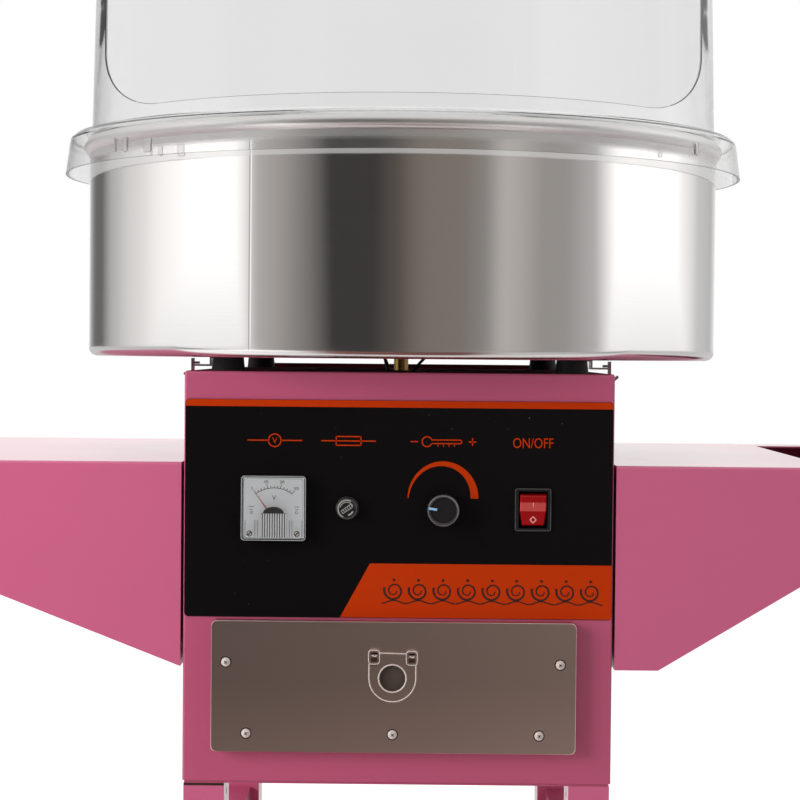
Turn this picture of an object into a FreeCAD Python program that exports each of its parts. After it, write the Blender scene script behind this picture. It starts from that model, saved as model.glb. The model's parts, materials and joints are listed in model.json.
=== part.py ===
"""Cotton candy machine on a two-wheeled cart: sheet-metal body, steel bowl, spinner, dome and side shelves.

Frame: X to the right, Y to the back (the controls face -Y), Z up, all in millimetres.
Origin: on the floor, under the spindle axis.
"""
import FreeCAD, Part
import math
import os

from FreeCAD import Vector

os.makedirs("parts", exist_ok=True)

# ---- sheet and clearances ----
SHEET = 1.5              # painted sheet steel
THIN = 1.2               # stainless sheet of the bowl and drawer
RUN_GAP = 0.3            # between faces of different moving pieces
BORE_FIT = 0.05          # radial play of a shaft in its bore
HOLE_FIT = 0.1           # radial play of a bolt in its hole
BEND = 2.0               # outer radius of folded sheet edges

# ---- body housing ----
BODY_W, BODY_D, BODY_H = 315.0, 390.0, 301.0
BODY_Z = 400.0           # lower edge of the housing skin
PAN_DROP = 2.0           # the base pan hangs this far below the skin
PAN_LIP = 20.0
TOP_LIP_W, TOP_LIP_H = 262.0, 4.0
VENT_X, VENT_L, VENT_H, VENT_PITCH, VENT_ROWS = 60.0, 50.0, 4.0, 10.0, 8
INLET_IN, INLET_RISE, INLET_W, INLET_H, INLET_T = 62.5, 60.0, 50.0, 28.0, 3.0
INLET_EAR, INLET_EDGE, INLET_WALL, INLET_DEPTH = 10.0, 3.0, 2.0, 20.0

# ---- cart ----
LEG_W, LEG_D = 30.0, 40.0
LEG_INSET, LEG_BELOW = 1.0, 25.0
RAIL_W, RAIL_H, RAIL_TOP = 22.5, 20.0, 320.0
DECK_Z, DECK_LIP = 160.0, 25.0
AXLE_R, WHEEL_R, TYRE_W = 6.0, 125.0, 30.0
TYRE_H, RIM_H, RIM_W = 20.0, 10.0, 26.0
HUB_R, HUB_W = 22.0, 34.0
SPOKES, SPOKE_W, SPOKE_T = 6, 15.0, 9.0
WASHER_R, WASHER_T = 12.0, 3.0
CAP_R, CAP_T = 11.0, 9.0
FOOT_R, FOOT_H, FOOT_PLUG = 19.0, 14.0, 12.0
FRAME_BOLT_R, BOLT_HEAD_R, BOLT_HEAD_H, BOLT_PAIR = 3.0, 5.5, 3.5, 10.0
SIDE_HOLE_R, SIDE_HOLE_DROP = 2.5, 10.0

# ---- side shelves and handle ----
REACH = 452.0            # half of the whole length
SHELF_DROP = 67.0        # shelf top below the body top
SHELF_H = 150.0
SHELF_GAP = 1.8
SHELF_D = 390.0
LEFT_SLOPE = 21.2        # degrees
RIGHT_FLAT, RIGHT_SLOPE, RIGHT_END_H = 32.0, 31.1, 74.0
HANDLE_OUT = 68.0        # the handle reaches this far past the right shelf
BIN_W, BIN_END, BIN_EDGE = 50.0, 14.0, 43.0
SHELF_BOLT_Y, SHELF_BOLT_LOW, SHELF_BOLT_HIGH = 120.0, 16.0, 126.0
HANDLE_R, HANDLE_WALL, HANDLE_BEND, HANDLE_SPAN = 12.0, 2.0, 24.0, 240.0
GRIP_R, GRIP_L = 15.5, 150.0
FLANGE_R, FLANGE_T, FLANGE_SCREW = 20.0, 3.0, 16.0
NUT_H = 5.0

# ---- control panel and its instruments ----
PANEL_DROP, PANEL_H, PANEL_T = 20.5, 159.5, 1.0
CONTROL_DROP = 99.5      # centre line of the instruments below the body top
METER_X, METER_S, METER_DEPTH = -91.0, 47.0, 10.0
METER_BARREL_R, METER_BARREL_L = 19.0, 30.0
METER_SCREW_X, METER_SCREW_DROP, METER_SCREW_R = 17.2, 18.4, 1.2
METER_WALL, METER_BASE_T, DIAL_T = 1.2, 2.0, 0.6
NEEDLE_PIN_R, NEEDLE_PIN_L, NEEDLE_T, NEEDLE_GAP = 0.8, 3.0, 0.4, 1.2
NEEDLE_DROP, NEEDLE_L, NEEDLE_REST = 8.0, 23.2, 36.0
FUSE_X, FUSE_FLANGE_R, FUSE_BARREL_R, FUSE_CAP_R = -37.6, 8.4, 6.2, 6.8
FUSE_R, FUSE_L, FUSE_BORE_R = 2.6, 20.0, 3.35
FUSE_FLANGE_T, FUSE_BARREL_L, FUSE_CAP_H, FUSE_STEM = 3.0, 36.0, 6.0, 7.0
KNOB_X, KNOB_R, KNOB_H, KNOB_FLUTES, KNOB_GAP, KNOB_REST = 32.4, 12.0, 15.0, 20, 2.5, 12.0
POT_R, POT_L, POT_BUSH_R, POT_SHAFT_R, POT_SHAFT_IN = 11.0, 12.0, 3.8, 3.0, 5.0
SWITCH_X, SWITCH_W, SWITCH_H, SWITCH_FRAME_T, SWITCH_EDGE = 98.3, 26.0, 31.0, 2.0, 0.5
SWITCH_DEPTH, SWITCH_BLADE = 24.0, 9.0
ROCKER_HALF_W, ROCKER_R, ROCKER_HALF_H, ROCKER_TILT = 10.2, 13.3, 11.3, 9.0
ROCKER_PIVOT_IN, ROCKER_FIT, ROCKER_PIN_R = 3.0, 0.4, 1.5

# ---- drawer ----
DRAWER_X, DRAWER_W, DRAWER_H, DRAWER_T = -3.0, 265.5, 94.5, 10.0
DRAWER_DROP = 183.2      # top of the drawer front below the body top
DRAWER_SCREW_IN, DRAWER_SCREW_DROP = 11.0, 29.5
LOW_SCREW_IN, LOW_SCREW_RISE = 26.0, 14.0
BOX_W, BOX_D, BOX_H, BOX_RISE = 230.0, 300.0, 79.0, 7.0
SCREW_HEAD_R, SCREW_HEAD_H, SCREW_R = 3.5, 2.2, 1.5
PULL_W, PULL_HOLE_R, PULL_T, PULL_RISE = 36.6, 11.0, 1.5, 23.8
PULL_L, LUG_W, LUG_H = 35.0, 8.6, 11.0
PULL_PIN_R, PULL_PIN_OUT, PULL_KNUCKLE_R, PULL_PLAY, PULL_RIM = 1.2, 2.6, 2.4, 0.4, 1.2
BOX_MARGIN, RUNNER_W, RUNNER_OVER = 0.5, 18.0, 20.0

# ---- bowl ----
FEET_H, FEET_R, FEET_IN, FEET_Y = 10.0, 11.5, 29.5, 166.0
BOWL_R, BOWL_H, BOWL_CORNER = 255.5, 167.0, 11.0
BEAD_R, BEAD_RING, BEAD_LAP = 6.0, 254.0, 15.0
BOWL_HOLE_R, BOWL_COLLAR = 40.0, 20.0

# ---- side latches ----
LATCH_OUT, LATCH_PIVOT_DROP, LATCH_PIN_R = 10.5, 27.0, 2.0
LATCH_PLATE_EDGE, LATCH_PLATE_LOW, LATCH_PLATE_HIGH = 6.0, 18.0, 14.0
LATCH_W, LATCH_BARREL_R, LATCH_STRIP = 10.0, 5.0, 2.0
LATCH_TAB_RISE, LATCH_TAB_OUT = 16.0, 6.5
LATCH_TIP, LATCH_HEAD_GAP = 6.3, 1.5
CATCH_IN, CATCH_LIP, CATCH_DROP, CATCH_FOOT = 12.0, 15.0, 8.0, 18.0

# ---- dome ----
DOME_T, DOME_R, DOME_TOP_R, DOME_SHOULDER = 2.5, 254.0, 249.5, 115.0
DOME_TOP_Z, DOME_CROWN = 1200.0, 6.0
DOME_FLANGE, SKIRT_FLARE, SKIRT_H, SKIRT_BEND = 17.8, 3.0, 30.0, 6.0
WINDOW_W, WINDOW_RISE, WINDOW_H, WINDOW_R = 460.0, 11.0, 190.0, 50.0

# ---- drive and spinner ----
MOTOR_R, MOTOR_H, MOTOR_BOSS_R, MOTOR_BOSS_H = 50.0, 108.0, 15.0, 6.0
MOTOR_GROOVES, GROOVE_W, GROOVE_PITCH, GROOVE_DEPTH = 5, 4.0, 10.0, 3.0
MOUNT_W, MOUNT_DROP, MOUNT_T, MOUNT_LIP = 140.0, 48.0, 3.0, 15.0
SPINDLE_R, SPINDLE_IN_MOTOR, SPINDLE_BORE_R = 6.0, 50.0, 3.0
TOP_HOLE_R = 26.0
BRUSH_BLOCK_R, BRUSH_BLOCK_H, BRUSH_BLOCK_BORE = 30.0, 6.0, 8.0
SLIP_RISE, SLIP_R, SLIP_T, SLIP_RING_W = 10.0, 30.0, 5.0, 5.0
SLIP_INNER_R, SLIP_OUTER_R = 15.5, 23.5
HEAD_RISE, HEAD_R, DISH_T, BAND_H, BAND_T = 34.0, 70.0, 3.0, 32.0, 4.0
HEAD_HUB_R, HEAD_HUB_H, DISH_RISE, RIM_FLAT, HEAD_NUT_W, HEAD_NUT_H = 14.0, 14.0, 8.0, 6.0, 16.0, 8.0
BAND_SLOTS, SLOT_W, SLOT_H = 36, 3.0, 22.0
COVER_HOLE_R, COVER_T = 40.0, 2.5

# ---- heater control board ----
BOARD_Y, BOARD_DROP, BOARD_W, BOARD_H, BOARD_T, STANDOFF = 60.0, 91.0, 100.0, 80.0, 1.6, 8.0
SINK_W, SINK_H, SINK_OUT, FINS, FIN_PITCH, COIL_R = 40.0, 50.0, 20.0, 5, 8.0, 10.0

# ---- planes that several pieces share ----
BODY_TOP = BODY_Z + BODY_H
FRONT = -BODY_D / 2
REAR = BODY_D / 2
SIDE = BODY_W / 2
TOP_IN = BODY_TOP - SHEET
PAN_Z = BODY_Z - PAN_DROP
PANEL_FACE = FRONT - PANEL_T
ROCKER_PIVOT_Y = PANEL_FACE + ROCKER_PIVOT_IN
INLET_Z = BODY_Z + INLET_RISE
CONTROL_Z = BODY_TOP - CONTROL_DROP
SHELF_TOP = BODY_TOP - SHELF_DROP
SHELF_X0 = SIDE + SHELF_GAP
RIGHT_END = REACH - HANDLE_OUT
BIN_X1 = RIGHT_END - BIN_END
BIN_X0 = BIN_X1 - BIN_W
LATCH_PIVOT_X = SIDE + LATCH_OUT
CATCH_X = LATCH_PIVOT_X - CATCH_IN
FEET_X = SIDE - FEET_IN
INLET_X = SIDE - INLET_IN
SKIRT_TOP_R = DOME_R + DOME_FLANGE
SKIRT_R = SKIRT_TOP_R + SKIRT_FLARE
BOWL_Z = BODY_TOP + FEET_H
BEAD_Z = BOWL_Z + BOWL_H
DOME_SEAT = BEAD_Z + BEAD_R + RUN_GAP
LEG_OUT = SIDE - LEG_INSET
LEG_IN = LEG_OUT - LEG_W
LEG_FACE = REAR - LEG_INSET
LEG_X = (LEG_OUT + LEG_IN) / 2
LEG_Y = LEG_FACE - LEG_D / 2
AXLE_Z = WHEEL_R
DRAWER_TOP = BODY_TOP - DRAWER_DROP
DRAWER_Z = DRAWER_TOP - DRAWER_H / 2
BOX_Z = DRAWER_TOP - DRAWER_H + BOX_RISE
BOX_FACE = FRONT - RUN_GAP - THIN
DRAWER_FACE = BOX_FACE - DRAWER_T
PIN_Y = DRAWER_FACE - PULL_PIN_OUT
PULL_Z = DRAWER_Z + PULL_RISE
MOUNT_Z = TOP_IN - MOUNT_DROP
SLIP_Z = BOWL_Z + SLIP_RISE
HEAD_Z = BOWL_Z + HEAD_RISE
BAND_Z = HEAD_Z + DISH_RISE + DISH_T
LATCH_Z = BODY_TOP - LATCH_PIVOT_DROP
CATCH_Z = BOWL_Z - CATCH_DROP


# ---- helpers ----
def box(x0, x1, y0, y1, z0, z1):
    """A block given by its two corners, in any order."""
    low = Vector(min(x0, x1), min(y0, y1), min(z0, z1))
    return Part.makeBox(abs(x1 - x0), abs(y1 - y0), abs(z1 - z0), low)


def rod(start, end, radius):
    """A round bar between two points."""
    a, b = Vector(*start), Vector(*end)
    return Part.makeCylinder(radius, (b - a).Length, a, b - a)


def ring(x, y, z0, z1, outer, inner):
    """An upright ring or disc with a hole."""
    return rod((x, y, z0), (x, y, z1), outer).cut(rod((x, y, z0 - 1), (x, y, z1 + 1), inner))


def ring_y(x, z, y0, y1, outer, inner):
    """A ring or disc with a hole whose axis runs front to back."""
    low, high = min(y0, y1), max(y0, y1)
    return rod((x, low, z), (x, high, z), outer).cut(rod((x, low - 1, z), (x, high + 1, z), inner))


def slab(points, axis, start, length):
    """A straight-sided outline pushed along an axis; points are in the other two axes."""
    place = {"x": lambda u, v: Vector(start, u, v),
             "y": lambda u, v: Vector(u, start, v),
             "z": lambda u, v: Vector(u, v, start)}[axis]
    push = {"x": Vector(length, 0, 0), "y": Vector(0, length, 0), "z": Vector(0, 0, length)}[axis]
    corners = [place(u, v) for u, v in points]
    return Part.Face(Part.makePolygon(corners + corners[:1])).extrude(push)


def turned(points):
    """A straight-sided outline of (radius, height) points turned about the spindle axis."""
    corners = [Vector(r, 0, z) for r, z in points]
    return Part.Face(Part.makePolygon(corners + corners[:1])).revolve(Vector(), Vector(0, 0, 1), 360)


def bow(centre, radius, start, end, steps):
    """Points of (radius, height) along an arc; angles in degrees from the outward direction."""
    angles = [math.radians(start + (end - start) * k / steps) for k in range(steps + 1)]
    return [(centre[0] + radius * math.cos(a), centre[1] + radius * math.sin(a)) for a in angles]


def arc(a, mid, b):
    return Part.Arc(Vector(*a), Vector(*mid), Vector(*b)).toShape()


def line(a, b):
    return Part.makeLine(Vector(*a), Vector(*b))


def hexagon_y(x, z, y0, y1, across):
    """A hexagon nut or head whose axis runs front to back."""
    r = across / math.sqrt(3)
    points = [(x + r * math.cos(math.radians(60 * k)), z + r * math.sin(math.radians(60 * k))) for k in range(6)]
    return slab(points, "y", y0, y1 - y0)


def rounded_plate(x, z, width, height, radius, y0, y1):
    """An upright plate with rounded corners, facing front."""
    plate = box(x - width / 2, x + width / 2, y0, y1, z - height / 2, z + height / 2)
    upright = [e for e in plate.Edges if abs(e.tangentAt(e.FirstParameter).y) > 0.9]
    return plate.makeFillet(radius, upright)


def fused(shapes):
    return shapes[0].multiFuse(shapes[1:]).removeSplitter() if len(shapes) > 1 else shapes[0]


def save(name, *shapes):
    """Write one node; several shapes are kept as separate solids."""
    shape = shapes[0] if len(shapes) == 1 else Part.makeCompound(list(shapes))
    shape.exportStep(f"parts/{name}.step")


def mirrored_x(shape):
    return shape.mirror(Vector(), Vector(1, 0, 0))


# ---- body housing ----
def instrument_holes(y0, y1):
    """The cut-outs of the four instruments, through everything between two planes."""
    z = CONTROL_Z
    return [rod((METER_X, y0, z), (METER_X, y1, z), METER_BARREL_R + HOLE_FIT),
            rod((FUSE_X, y0, z), (FUSE_X, y1, z), FUSE_BARREL_R + HOLE_FIT),
            rod((KNOB_X, y0, z), (KNOB_X, y1, z), POT_BUSH_R + HOLE_FIT),
            switch_block(0, y0, y1)]


def switch_block(inset, y0, y1):
    """The switch's cut-out, or the can that fits it with an inset, between two planes."""
    half_w, half_h = SWITCH_W / 2 - SWITCH_EDGE - inset, SWITCH_H / 2 - SWITCH_EDGE - inset
    return box(SWITCH_X - half_w, SWITCH_X + half_w, y0, y1, CONTROL_Z - half_h, CONTROL_Z + half_h)


def body_shell():
    """Front, sides and top in one folded skin, open behind and below. A low lip stands on the top's rear edge."""
    outer = box(-SIDE, SIDE, FRONT, REAR, BODY_Z, BODY_TOP)
    folds = [e for e in outer.Edges
             if abs(e.CenterOfMass.z - BODY_TOP) < 0.1 and e.CenterOfMass.y < REAR - 1
             or abs(e.CenterOfMass.y - FRONT) < 0.1 and abs(abs(e.CenterOfMass.x) - SIDE) < 0.1]
    outer = outer.makeFillet(BEND, folds)
    half = TOP_LIP_W / 2
    outer = outer.fuse(box(-half, half, REAR - SHEET, REAR, BODY_TOP - SHEET, BODY_TOP + TOP_LIP_H))
    inner = box(-SIDE + SHEET, SIDE - SHEET, FRONT + SHEET, REAR + 1, BODY_Z - 1, TOP_IN)
    cuts = [inner, rod((0, 0, TOP_IN - 1), (0, 0, BODY_TOP + 1), TOP_HOLE_R)]
    cuts += instrument_holes(FRONT - 1, FRONT + SHEET + 1)
    half = BOX_W / 2 + 1
    cuts.append(box(DRAWER_X - half, DRAWER_X + half, FRONT - 1, FRONT + SHEET + 1, BOX_Z - 1, BOX_Z + BOX_H + 1))
    for side in (-1, 1):
        for y, z in shelf_bolt_places():
            cuts.append(rod((side * (SIDE - 5), y, z), (side * (SIDE + 5), y, z), FRAME_BOLT_R + HOLE_FIT))
    return outer.cut(cuts)


def base_pan():
    """The floor of the body: a shallow folded tray, open above."""
    x, y = SIDE - SHEET, REAR - SHEET
    tray = box(-x, x, -y, y, PAN_Z, PAN_Z + PAN_LIP)
    tray = tray.cut(box(-x + SHEET, x - SHEET, -y + SHEET, y - SHEET, PAN_Z + SHEET, PAN_Z + PAN_LIP + 1))
    return tray.cut([rod((bx, by, PAN_Z - 1), (bx, by, PAN_Z + SHEET + 1), FRAME_BOLT_R + HOLE_FIT)
                     for bx, by in leg_bolt_places()])


def back_panel():
    """The rear cover between the skin's sides, with two banks of cooling slots."""
    y0, y1 = REAR - SHEET, REAR
    plate = box(-SIDE + SHEET, SIDE - SHEET, y0, y1, BODY_Z, TOP_IN)
    cuts = []
    for side in (-1, 1):
        for row in range(VENT_ROWS):
            z = CONTROL_Z + (row - VENT_ROWS / 2) * VENT_PITCH
            x = side * VENT_X
            cuts.append(box(x - VENT_L / 2, x + VENT_L / 2, y0 - 1, y1 + 1, z, z + VENT_H))
    cuts.append(inlet_block(0, y0 - 1, y1 + 1))
    return plate.cut(cuts)


def inlet_block(inset, y0, y1):
    """The inlet's cut-out, or what fits it with an inset, between two planes."""
    half_w, half_h = INLET_W / 2 - INLET_EAR - inset, INLET_H / 2 - INLET_EDGE - inset
    return box(INLET_X - half_w, INLET_X + half_w, y0, y1, INLET_Z - half_h, INLET_Z + half_h)


def power_inlet():
    """A three-pin appliance inlet with a flange, in the back panel."""
    flange = rounded_plate(INLET_X, INLET_Z, INLET_W, INLET_H, 3.0, REAR, REAR + INLET_T)
    barrel = inlet_block(HOLE_FIT, REAR - INLET_DEPTH, REAR)
    floor = REAR - INLET_DEPTH + 5
    well = inlet_block(HOLE_FIT + INLET_WALL, floor, REAR + INLET_T + 1)
    socket = flange.fuse(barrel).cut(well)
    pins = [box(INLET_X + dx - 1, INLET_X + dx + 1, floor - 1, REAR - 1, INLET_Z + dz - 2, INLET_Z + dz + 2)
            for dx, dz in ((-7, -2), (0, 3), (7, -2))]
    return fused([socket] + pins)


# ---- cart ----
def leg_bolt_places():
    return [(sx * LEG_X, sy * (LEG_Y + dy)) for sx in (-1, 1) for sy in (-1, 1) for dy in (-BOLT_PAIR, BOLT_PAIR)]


def leg(sx, sy, foot_z):
    """One square-tube leg with a closed top, standing from foot_z to the base pan."""
    x0, x1 = sx * LEG_IN, sx * LEG_OUT
    y0, y1 = sy * (LEG_FACE - LEG_D), sy * LEG_FACE
    tube = box(x0, x1, y0, y1, foot_z, PAN_Z)
    hollow = box(x0 + sx * SHEET, x1 - sx * SHEET, y0 + sy * SHEET, y1 - sy * SHEET, foot_z - 1, PAN_Z - SHEET)
    cuts = [hollow]
    cuts += [rod((bx, by, PAN_Z - 5), (bx, by, PAN_Z + 1), FRAME_BOLT_R + HOLE_FIT)
             for bx, by in leg_bolt_places() if bx * sx > 0 and by * sy > 0]
    inner = x0 + sx * SHEET * 2
    hole_z = PAN_Z - SIDE_HOLE_DROP
    cuts.append(rod((x0 - sx * 2, sy * LEG_Y, hole_z), (inner, sy * LEG_Y, hole_z), SIDE_HOLE_R))
    deck_bolt_z = DECK_Z - DECK_LIP / 2
    cuts.append(rod((x0 - sx * 2, sy * LEG_Y, deck_bolt_z), (inner, sy * LEG_Y, deck_bolt_z),
                    FRAME_BOLT_R + HOLE_FIT))
    if foot_z > FOOT_H + 1:
        cuts.append(rod((sx * LEG_X, y0 - sy * 5, AXLE_Z), (sx * LEG_X, y1 + sy * 5, AXLE_Z), AXLE_R + HOLE_FIT))
    return tube.cut(cuts)


def side_rails():
    """A box-section rail between the front and rear leg of each side."""
    y = LEG_FACE - LEG_D
    rails = []
    for sx in (-1, 1):
        x0, x1 = sx * (LEG_OUT - RAIL_W), sx * LEG_OUT
        bar = box(x0, x1, -y, y, RAIL_TOP - RAIL_H, RAIL_TOP)
        rails.append(bar.cut(box(x0 + sx * SHEET, x1 - sx * SHEET, -y - 1, y + 1,
                                 RAIL_TOP - RAIL_H + SHEET, RAIL_TOP - SHEET)))
    return rails


def lower_deck():
    """The lower shelf between the legs, with its four edges folded down."""
    x, y = LEG_IN, LEG_FACE
    deck = box(-x, x, -y, y, DECK_Z - DECK_LIP, DECK_Z)
    deck = deck.cut(box(-x + SHEET, x - SHEET, -y + SHEET, y - SHEET, DECK_Z - DECK_LIP - 1, DECK_Z - SHEET))
    z = DECK_Z - DECK_LIP / 2
    return deck.cut([rod((sx * (x - 4), sy * LEG_Y, z), (sx * (x + 4), sy * LEG_Y, z), FRAME_BOLT_R + HOLE_FIT)
                     for sx in (-1, 1) for sy in (-1, 1)])


def frame_bolts():
    """Bolts that hold the legs to the base pan and the lower shelf to the legs."""
    bolts = []
    for x, y in leg_bolt_places():
        top = PAN_Z + SHEET
        head = rod((x, y, top), (x, y, top + BOLT_HEAD_H), BOLT_HEAD_R)
        bolts.append(head.fuse(rod((x, y, PAN_Z - 12), (x, y, top), FRAME_BOLT_R)))
    z = DECK_Z - DECK_LIP / 2
    for sx in (-1, 1):
        for sy in (-1, 1):
            y, seat = sy * LEG_Y, sx * (LEG_IN - SHEET)
            head = rod((seat - sx * BOLT_HEAD_H, y, z), (seat, y, z), BOLT_HEAD_R)
            bolts.append(head.fuse(rod((seat, y, z), (seat + sx * 14, y, z), FRAME_BOLT_R)))
    return bolts


def rubber_feet():
    """Two feet that plug into the legs away from the wheels."""
    feet = []
    for sy in (-1, 1):
        pad = turned([(0, 0), (FOOT_R, 0), (FOOT_R, 4), (LEG_W / 2, FOOT_H), (0, FOOT_H)])
        pad.translate(Vector(LEG_X, sy * LEG_Y, 0))
        w, d = LEG_W / 2 - SHEET - HOLE_FIT, LEG_D / 2 - SHEET - HOLE_FIT
        plug = box(LEG_X - w, LEG_X + w, sy * LEG_Y - d, sy * LEG_Y + d, FOOT_H, FOOT_H + FOOT_PLUG)
        feet.append(pad.fuse(plug))
    return feet


def wheel_planes(sy):
    """Inner and outer face of a hub, front (-1) or rear (+1)."""
    inner = LEG_FACE + WASHER_T + RUN_GAP
    return sy * inner, sy * (inner + HUB_W)


def axle_parts():
    """The fixed axle through the legs, its washers and the end caps outside the wheels."""
    end = LEG_FACE + WASHER_T + HUB_W + 2 * RUN_GAP + CAP_T - 3
    x, z = -LEG_X, AXLE_Z
    axle = rod((x, -end, z), (x, end, z), AXLE_R)
    washers, caps = [], []
    for sy in (-1, 1):
        washers.append(ring_y(x, z, sy * LEG_FACE, sy * (LEG_FACE + WASHER_T), WASHER_R, AXLE_R + HOLE_FIT))
        cap_y = wheel_planes(sy)[1] + sy * RUN_GAP
        shell = rod((x, cap_y, z), (x, cap_y + sy * CAP_T, z), CAP_R)
        rim = [e for e in shell.Edges if abs(e.CenterOfMass.y - cap_y - sy * CAP_T) < 0.1]
        shell = shell.makeChamfer(2.5, rim)
        caps.append(shell.cut(rod((x, cap_y - sy, z), (x, sy * end, z), AXLE_R)))
    return axle, washers, caps


def wheel(sy):
    """A spoked wheel: hub, tapered spokes and a channelled rim."""
    x, z = -LEG_X, AXLE_Z
    y0, y1 = wheel_planes(sy)
    mid = (y0 + y1) / 2
    rim_out = WHEEL_R - TYRE_H
    rim = ring_y(x, z, mid - RIM_W / 2, mid + RIM_W / 2, rim_out, rim_out - RIM_H)
    rim = rim.cut(ring_y(x, z, mid - RIM_W / 2 + 5, mid + RIM_W / 2 - 5, rim_out + 1, rim_out - 3))
    hub = rod((x, y0, z), (x, y1, z), HUB_R)
    spokes = []
    for k in range(SPOKES):
        inner, outer = SPOKE_W / 2 + 3, SPOKE_W / 2 - 1
        blade = slab([(x - inner, z + HUB_R - 5), (x + inner, z + HUB_R - 5),
                      (x + outer, z + rim_out - RIM_H + 2), (x - outer, z + rim_out - RIM_H + 2)],
                     "y", mid - SPOKE_T / 2, SPOKE_T)
        spokes.append(blade.rotate(Vector(x, 0, z), Vector(0, 1, 0), 360 / SPOKES * k))
    body = fused([rim, hub] + spokes)
    return body.cut(rod((x, y0 - HUB_W, z), (x, y1 + HUB_W, z), AXLE_R + BORE_FIT))


def tyre(sy):
    """A solid rubber tyre with a crowned tread, keyed into the rim's channel."""
    y0, y1 = wheel_planes(sy)
    seat, half, key = WHEEL_R - TYRE_H, TYRE_W / 2, RIM_W / 2 - 5
    shoulder = half - 10
    crown = bow((WHEEL_R - 10, shoulder), 10, 0, 90, 4)
    side = [(seat - 3, 0), (seat - 3, key), (seat, key), (seat, half)] + crown[::-1] + [(WHEEL_R, 0)]
    ring_half = turned(side)
    solid = fused([ring_half, ring_half.mirror(Vector(), Vector(0, 0, 1))])
    solid = solid.rotate(Vector(), Vector(1, 0, 0), 90)
    solid.translate(Vector(-LEG_X, (y0 + y1) / 2, AXLE_Z))
    return solid


# ---- side shelves and push handle ----
def shelf_bolt_places():
    z = SHELF_TOP - SHELF_H
    return [(sy * SHELF_BOLT_Y, z + dz) for sy in (-1, 1) for dz in (SHELF_BOLT_LOW, SHELF_BOLT_HIGH)]


def hollow_shelf(points):
    """A closed sheet-metal shelf of the given side outline (x, z)."""
    outer = slab(points, "y", -SHELF_D / 2, SHELF_D)
    long_edges = [e for e in outer.Edges if abs(e.CenterOfMass.z - SHELF_TOP) < 0.1
                  and abs(e.CenterOfMass.x) > SHELF_X0 + 1]
    outer = outer.makeFillet(BEND, long_edges)
    corners = [Vector(x, -SHELF_D / 2 + SHEET, z) for x, z in points]
    face = Part.Face(Part.makePolygon(corners + corners[:1])).makeOffset2D(-SHEET)
    hollow = face.extrude(Vector(0, SHELF_D - 2 * SHEET, 0))
    inner_end = -1 if points[0][0] < 0 else 1
    holes = [rod((inner_end * (SHELF_X0 - 2), y, z), (inner_end * (SHELF_X0 + 4), y, z), FRAME_BOLT_R + HOLE_FIT)
             for y, z in shelf_bolt_places()]
    return outer.cut([hollow] + holes)


def left_shelf():
    """The shelf over the wheels; its underside rises straight to the tip."""
    low = SHELF_TOP - SHELF_H
    tip_z = low + (REACH - SHELF_X0) * math.tan(math.radians(LEFT_SLOPE))
    return hollow_shelf([(-SHELF_X0, low), (-SHELF_X0, SHELF_TOP), (-REACH, SHELF_TOP), (-REACH, tip_z)])


def right_shelf():
    """The shelf on the handle side, with a flat end and a slot over a bin for paper cones."""
    low, end_z = SHELF_TOP - SHELF_H, SHELF_TOP - RIGHT_END_H
    flat_end = SHELF_X0 + RIGHT_FLAT
    rise_end = flat_end + (end_z - low) / math.tan(math.radians(RIGHT_SLOPE))
    shelf = hollow_shelf([(SHELF_X0, low), (flat_end, low), (rise_end, end_z),
                          (RIGHT_END, end_z), (RIGHT_END, SHELF_TOP), (SHELF_X0, SHELF_TOP)])
    y = SHELF_D / 2 - BIN_EDGE
    slot = box(BIN_X0, BIN_X1, -y, y, SHELF_TOP - 3, SHELF_TOP + 3)
    screws = [rod((RIGHT_END - 5, hy, hz), (RIGHT_END + 5, hy, hz), SCREW_R + HOLE_FIT)
              for hy, hz in handle_screw_places()]
    return shelf.cut([slot] + screws)


def shelf_bolts():
    """Bolts with spacer washers between the body's sides and the shelves."""
    pieces = []
    for sx in (-1, 1):
        for y, z in shelf_bolt_places():
            head_x, nut_x = SIDE - SHEET, SHELF_X0 + SHEET
            head = rod((sx * (head_x - BOLT_HEAD_H), y, z), (sx * head_x, y, z), BOLT_HEAD_R)
            shank = rod((sx * head_x, y, z), (sx * (nut_x + NUT_H + 2), y, z), FRAME_BOLT_R)
            pieces.append(head.fuse(shank))
            outer = rod((sx * SIDE, y, z), (sx * SHELF_X0, y, z), BOLT_HEAD_R + 1)
            pieces.append(outer.cut(rod((sx * (SIDE - 1), y, z), (sx * (SHELF_X0 + 1), y, z), FRAME_BOLT_R)))
            nut = rod((sx * nut_x, y, z), (sx * (nut_x + NUT_H), y, z), BOLT_HEAD_R)
            pieces.append(nut.cut(rod((sx * (nut_x - 1), y, z), (sx * (nut_x + NUT_H + 1), y, z), FRAME_BOLT_R)))
    for y, z in handle_screw_places():
        head = rod((RIGHT_END + FLANGE_T, y, z), (RIGHT_END + FLANGE_T + SCREW_HEAD_H, y, z), SCREW_HEAD_R)
        pieces.append(head.fuse(rod((RIGHT_END - 6, y, z), (RIGHT_END + FLANGE_T, y, z), SCREW_R)))
    return pieces


def handle_height():
    return SHELF_TOP - RIGHT_END_H / 2


def handle_screw_places():
    z = handle_height()
    return [(sy * HANDLE_SPAN / 2, z + dz) for sy in (-1, 1) for dz in (-FLANGE_SCREW, FLANGE_SCREW)]


def handle_path():
    """Out from the shelf's end, round a bend, across and back, as one smooth line."""
    y, z, r = HANDLE_SPAN / 2, handle_height(), HANDLE_BEND
    out = REACH - GRIP_R
    k = r * (1 - math.sqrt(0.5))
    start = RIGHT_END
    return Part.Wire([
        line((start, -y, z), (out - r, -y, z)),
        arc((out - r, -y, z), (out - k, -y + k, z), (out, -y + r, z)),
        line((out, -y + r, z), (out, y - r, z)),
        arc((out, y - r, z), (out - k, y - k, z), (out - r, y, z)),
        line((out - r, y, z), (start, y, z))])


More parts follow.
